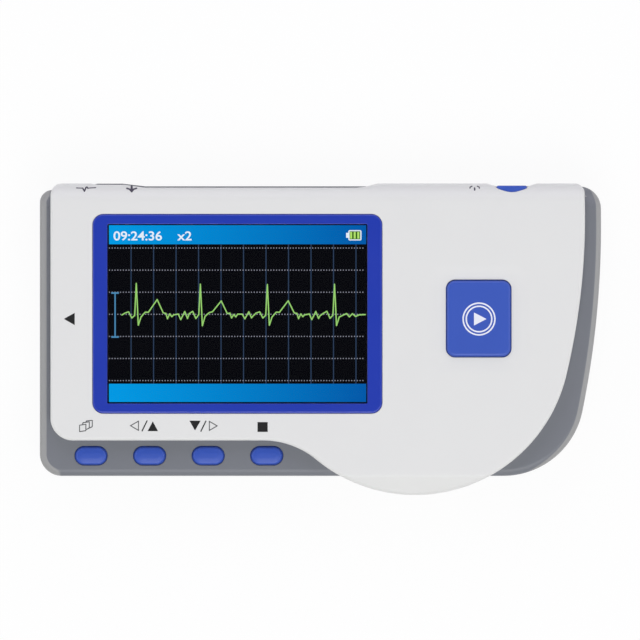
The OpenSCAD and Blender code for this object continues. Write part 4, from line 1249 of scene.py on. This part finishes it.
def make_data_socket():
    """Socket shell in the top edge, with its contact tongue."""
    low, high = span("data_socket")
    width, height = high.x - low.x, high.z - low.z
    shell = place("steel_data_socket", solid(rounded(width, height, 0.7), 0, SOCKET_DEPTH))
    cut(shell, solid(rounded(width - 0.8, height - 0.8, 0.4), 3, SOCKET_DEPTH + OVER))
    tongue = place("black_socket_tongue", block((-width / 2 + 1.4, -0.45, 2.9), (width / 2 - 1.4, 0.45, 8.2)))
    pins = place("gilt_socket_contacts", merged(*[
        block((x - 0.18, side * 0.45 - 0.04, 3.2), (x + 0.18, side * 0.45 + 0.04, 7.9))
        for x in (-1.8, -0.9, 0.0, 0.9, 1.8) for side in (-1, 1)]))
    stand = (Matrix.Translation((SOCKET_X, high.y - SOCKET_DEPTH, (low.z + high.z) / 2))
             @ Matrix.Rotation(math.radians(-90), 4, "X"))
    for piece, slot, material in ((shell, "switch_metal", SHEET), (tongue, "chip_black", CHIP),
                                  (pins, "contact_steel", GOLD)):
        piece.data.transform(stand)
        finish(piece, "case", material, soften=0.05)
    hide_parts("data_socket")


# ---- Batteries


def make_cell(name):
    """Cell with a printed jacket, a seal ring and its nub."""
    low, high = span(name)
    y, z = (low.y + high.y) / 2, (low.z + high.z) / 2
    r, end = (high.z - low.z) / 2, high.x - low.x
    profile = [(0, 0), (r - 1.2, 0), (r - 0.9, 0.25), (r - 0.35, 0.3), (r, 0.7), (r, end - 1.6),
               (r - 0.4, end - 1.15), (r - 0.7, end - 1.0), (r - 1.2, end - 0.95), (1.9, end - 0.9),
               (1.85, end - 0.15), (1.6, end), (0, end)]
    bm = bmesh.new()
    verts = [bm.verts.new((radius, 0, height)) for radius, height in profile]
    edges = [bm.edges.new(pair) for pair in zip(verts, verts[1:])]
    bmesh.ops.spin(bm, geom=verts + edges, cent=(0, 0, 0), axis=(0, 0, 1), angle=math.tau, steps=72,
                   use_merge=True)
    bmesh.ops.remove_doubles(bm, verts=bm.verts, dist=TINY)
    bmesh.ops.recalc_face_normals(bm, faces=bm.faces)
    side = 1 if name.endswith("1") else -1
    foot, nub = (low.x, high.x)[::side]
    cell = place(name.replace("battery", "jacketed"), moved(turned(bm, 90 * side, "Y"), foot, y, z))
    return finish(cell, "case", jacket_material(name, foot, nub), replaces=[name])


def banded(tree, along, bands):
    """Colour that changes in steps: pairs of where a band starts and its colour."""
    made = node(tree, "ValToRGB", Fac=along)
    made.color_ramp.interpolation = "CONSTANT"
    stops = made.color_ramp.elements
    for start, _ in bands[1:]:
        stops.new(start)
    stops.remove(stops[-1])
    for stop, (start, color) in zip(stops, bands):
        stop.position = start
        stop.color = color
    return made.outputs["Color"]


def jacket_material(name, foot, nub):
    """Dark lacquered jacket with a slate-coloured band at the nub, bare steel at both ends."""
    material, tree, sockets = new_material("jacket of " + name)
    along = share(tree, parts_of(tree, coords(tree))["X"], foot * MM, nub * MM)
    start, band, end = 0.014, 0.72, 0.965
    steel, lacquer = (1, 1, 1, 1), (0.35, 0.35, 0.35, 1)
    colors = banded(tree, along, [(0.0, srgb(196, 198, 202)), (start, srgb(44, 50, 60)),
                                  (band, srgb(96, 120, 134)), (end, srgb(190, 192, 196))])
    feed(tree, colors, sockets["Base Color"])
    feed(tree, banded(tree, along, [(0.0, steel), (start, lacquer), (end, steel)]), sockets["Metallic"])
    surface(tree, sockets, BRUSHED, Stretch=(90.0, 2500.0, 2500.0), Depth=0.000002, Roughness=0.28,
            Spread=0.1)
    return material


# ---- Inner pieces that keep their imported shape


def board_material():
    """Green solder mask over faint copper tracks, with tinned pads."""
    material, tree, sockets = new_material("green board")
    where = coords(tree)
    tracks = node(tree, "TexBrick", Vector=where, Scale=900.0, offset=0.35, Mortar_Size=0.03,
                  Color1=srgb(24, 96, 54), Color2=srgb(20, 86, 50), Mortar=srgb(52, 130, 74))
    pads = node(tree, "TexVoronoi", Vector=where, Scale=420.0)
    near = calc(tree, "LESS_THAN", pads.outputs["Distance"], 0.12)
    feed(tree, blend(tree, near, tracks.outputs["Color"], srgb(196, 190, 160)), sockets["Base Color"])
    surface(tree, sockets, GRAIN, Size=1500.0, Depth=0.00001, Roughness=0.35, Spread=0.1)
    return material


def foam_material():
    """Open black foam."""
    material, tree, sockets = new_material("black foam", Roughness=0.9)
    cells = node(tree, "TexVoronoi", Vector=coords(tree), Scale=3500.0)
    bump = node(tree, "Bump", Strength=0.8, Distance=0.0001, Height=cells.outputs["Distance"])
    feed(tree, bump.outputs["Normal"], sockets["Normal"])
    tint(tree, sockets, (30, 30, 32), (50, 50, 52), 2000.0, 0.8)
    return material


def dress_inner_pieces():
    """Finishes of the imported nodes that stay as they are."""
    actuators = [name + "_actuator" for name in ("start", "menu", "left_up", "right_down", "stop", "power")]
    finishes = [
        (foam_material(), ["lcd_gasket"]), (GLASS, ["lcd_panel"]), (FLEX, ["lcd_flex"]),
        (IVORY, ["lcd_connector"]), (board_material(), ["main_board"]), (SCREW, ["board_screws"]),
        (GOLD, ["electrode_contacts"]), (CONTACT, ["bridge_contact", "positive_contact", "negative_contact"]),
        (SHEET, ["lcd_tray", "start_switch", "soft_key_switches", "power_switch", "analog_shield",
                 "crystal"]),
        (CHIP, ["processor_chip", "memory_chip", "buzzer"] + actuators),
    ]
    for material, names in finishes:
        for name in names:
            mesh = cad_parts[name].data
            mesh.materials.clear()
            mesh.materials.append(material)


# ---- Floor, light and camera

VIEW_W = 640 * PHOTO_SCALE
CAMERA_FAR = 6000.0


def make_camera():
    """Camera straight above, with the photograph's crop."""
    camera = bpy.data.objects.new("camera", bpy.data.cameras.new("camera"))
    bpy.context.scene.collection.objects.link(camera)
    x, y = from_photo(320, 320)
    camera.location = (x * MM, y * MM, (CAMERA_FAR + FACE_Z) * MM)
    camera.data.sensor_width = 36
    camera.data.lens = 36 * CAMERA_FAR / VIEW_W
    camera.data.clip_end = 20
    bpy.context.scene.camera = camera
    bpy.context.scene.view_settings.view_transform = "Standard"


def make_floor():
    """Pale floor that stays white where nothing shades it."""
    bm = bmesh.new()
    bmesh.ops.create_grid(bm, x_segments=1, y_segments=1, size=1500)
    bmesh.ops.scale(moved(bm, 0, 0, -0.02), vec=(MM, MM, MM), verts=bm.verts)
    floor = place("floor", bm)
    material, tree, _ = new_material("pale floor", Base_Color=(0.9, 0.9, 0.9, 1), Roughness=0.9,
                                     Specular_IOR_Level=0.1)
    white = node(tree, "Emission", Color=(1, 1, 1, 1), Strength=1.0)
    ray = node(tree, "LightPath").outputs
    seen = calc(tree, "MAXIMUM", ray["Is Camera Ray"], ray["Is Glossy Ray"])
    mix = node(tree, "MixShader")
    feed(tree, calc(tree, "MULTIPLY", seen, 0.93), mix.inputs[0])
    feed(tree, tree.nodes["Principled BSDF"].outputs[0], mix.inputs[1])
    feed(tree, white.outputs[0], mix.inputs[2])
    feed(tree, mix.outputs[0], tree.nodes["Material Output"].inputs["Surface"])
    floor.data.materials.append(material)


def make_world():
    """White surroundings, dimmer for the light that falls on the monitor, with a dark patch overhead."""
    world = bpy.data.worlds.new("studio")
    bpy.context.scene.world = world
    world.use_nodes = True
    tree = world.node_tree
    sockets = tree.nodes["Background"].inputs
    sockets["Color"].default_value = (1, 1, 1, 1)
    up = parts_of(tree, coords(tree, "Generated"))["Z"]
    overhead = share(tree, up, 0.55, 0.9, To_Min=1.0, To_Max=0.12)
    ray = node(tree, "LightPath").outputs
    mirrored = calc(tree, "MAXIMUM", ray["Is Glossy Ray"], ray["Is Transmission Ray"])
    seen = calc(tree, "MAXIMUM", ray["Is Camera Ray"], mirrored)
    level = share(tree, seen, 0.0, 1.0, To_Min=0.3, To_Max=1.0)
    feed(tree, calc(tree, "MULTIPLY", level, overhead), sockets["Strength"])


def add_lamp(name, place_at, size, power, color):
    """Soft square lamp that looks at the monitor."""
    lamp = bpy.data.objects.new(name, bpy.data.lights.new(name, "AREA"))
    lamp.data.size = size
    lamp.data.energy = power
    lamp.data.color = color
    bpy.context.scene.collection.objects.link(lamp)
    lamp.location = place_at
    lamp.rotation_mode = "QUATERNION"
    lamp.rotation_quaternion = Vector(place_at).to_track_quat("Z", "Y")


make_camera()
make_floor()
make_world()
add_lamp("front lamp", (0.1, -0.7, 1.15), 1.0, 11.1, (1.0, 1.0, 1.0))
add_lamp("back lamp", (0.0, 1.0, 0.75), 1.3, 6.6, (0.9, 0.87, 1.0))
add_lamp("left lamp", (-0.95, 0.1, 0.55), 1.2, 3.8, (0.95, 0.98, 1.0))
add_lamp("right lamp", (0.95, 0.1, 0.55), 1.2, 3.5, (0.95, 0.98, 1.0))

make_front_cover()
make_middle_frame()
make_rear_housing()
make_battery_door()
make_screen_frame()
make_lens()
make_picture()
for key in SOFT_KEYS:
    make_soft_key(key)
make_start_button()
make_power_button()
make_marks()
make_electrodes()
make_screws()
make_data_socket()
for cell in ("battery_cell_1", "battery_cell_2"):
    make_cell(cell)
dress_inner_pieces()
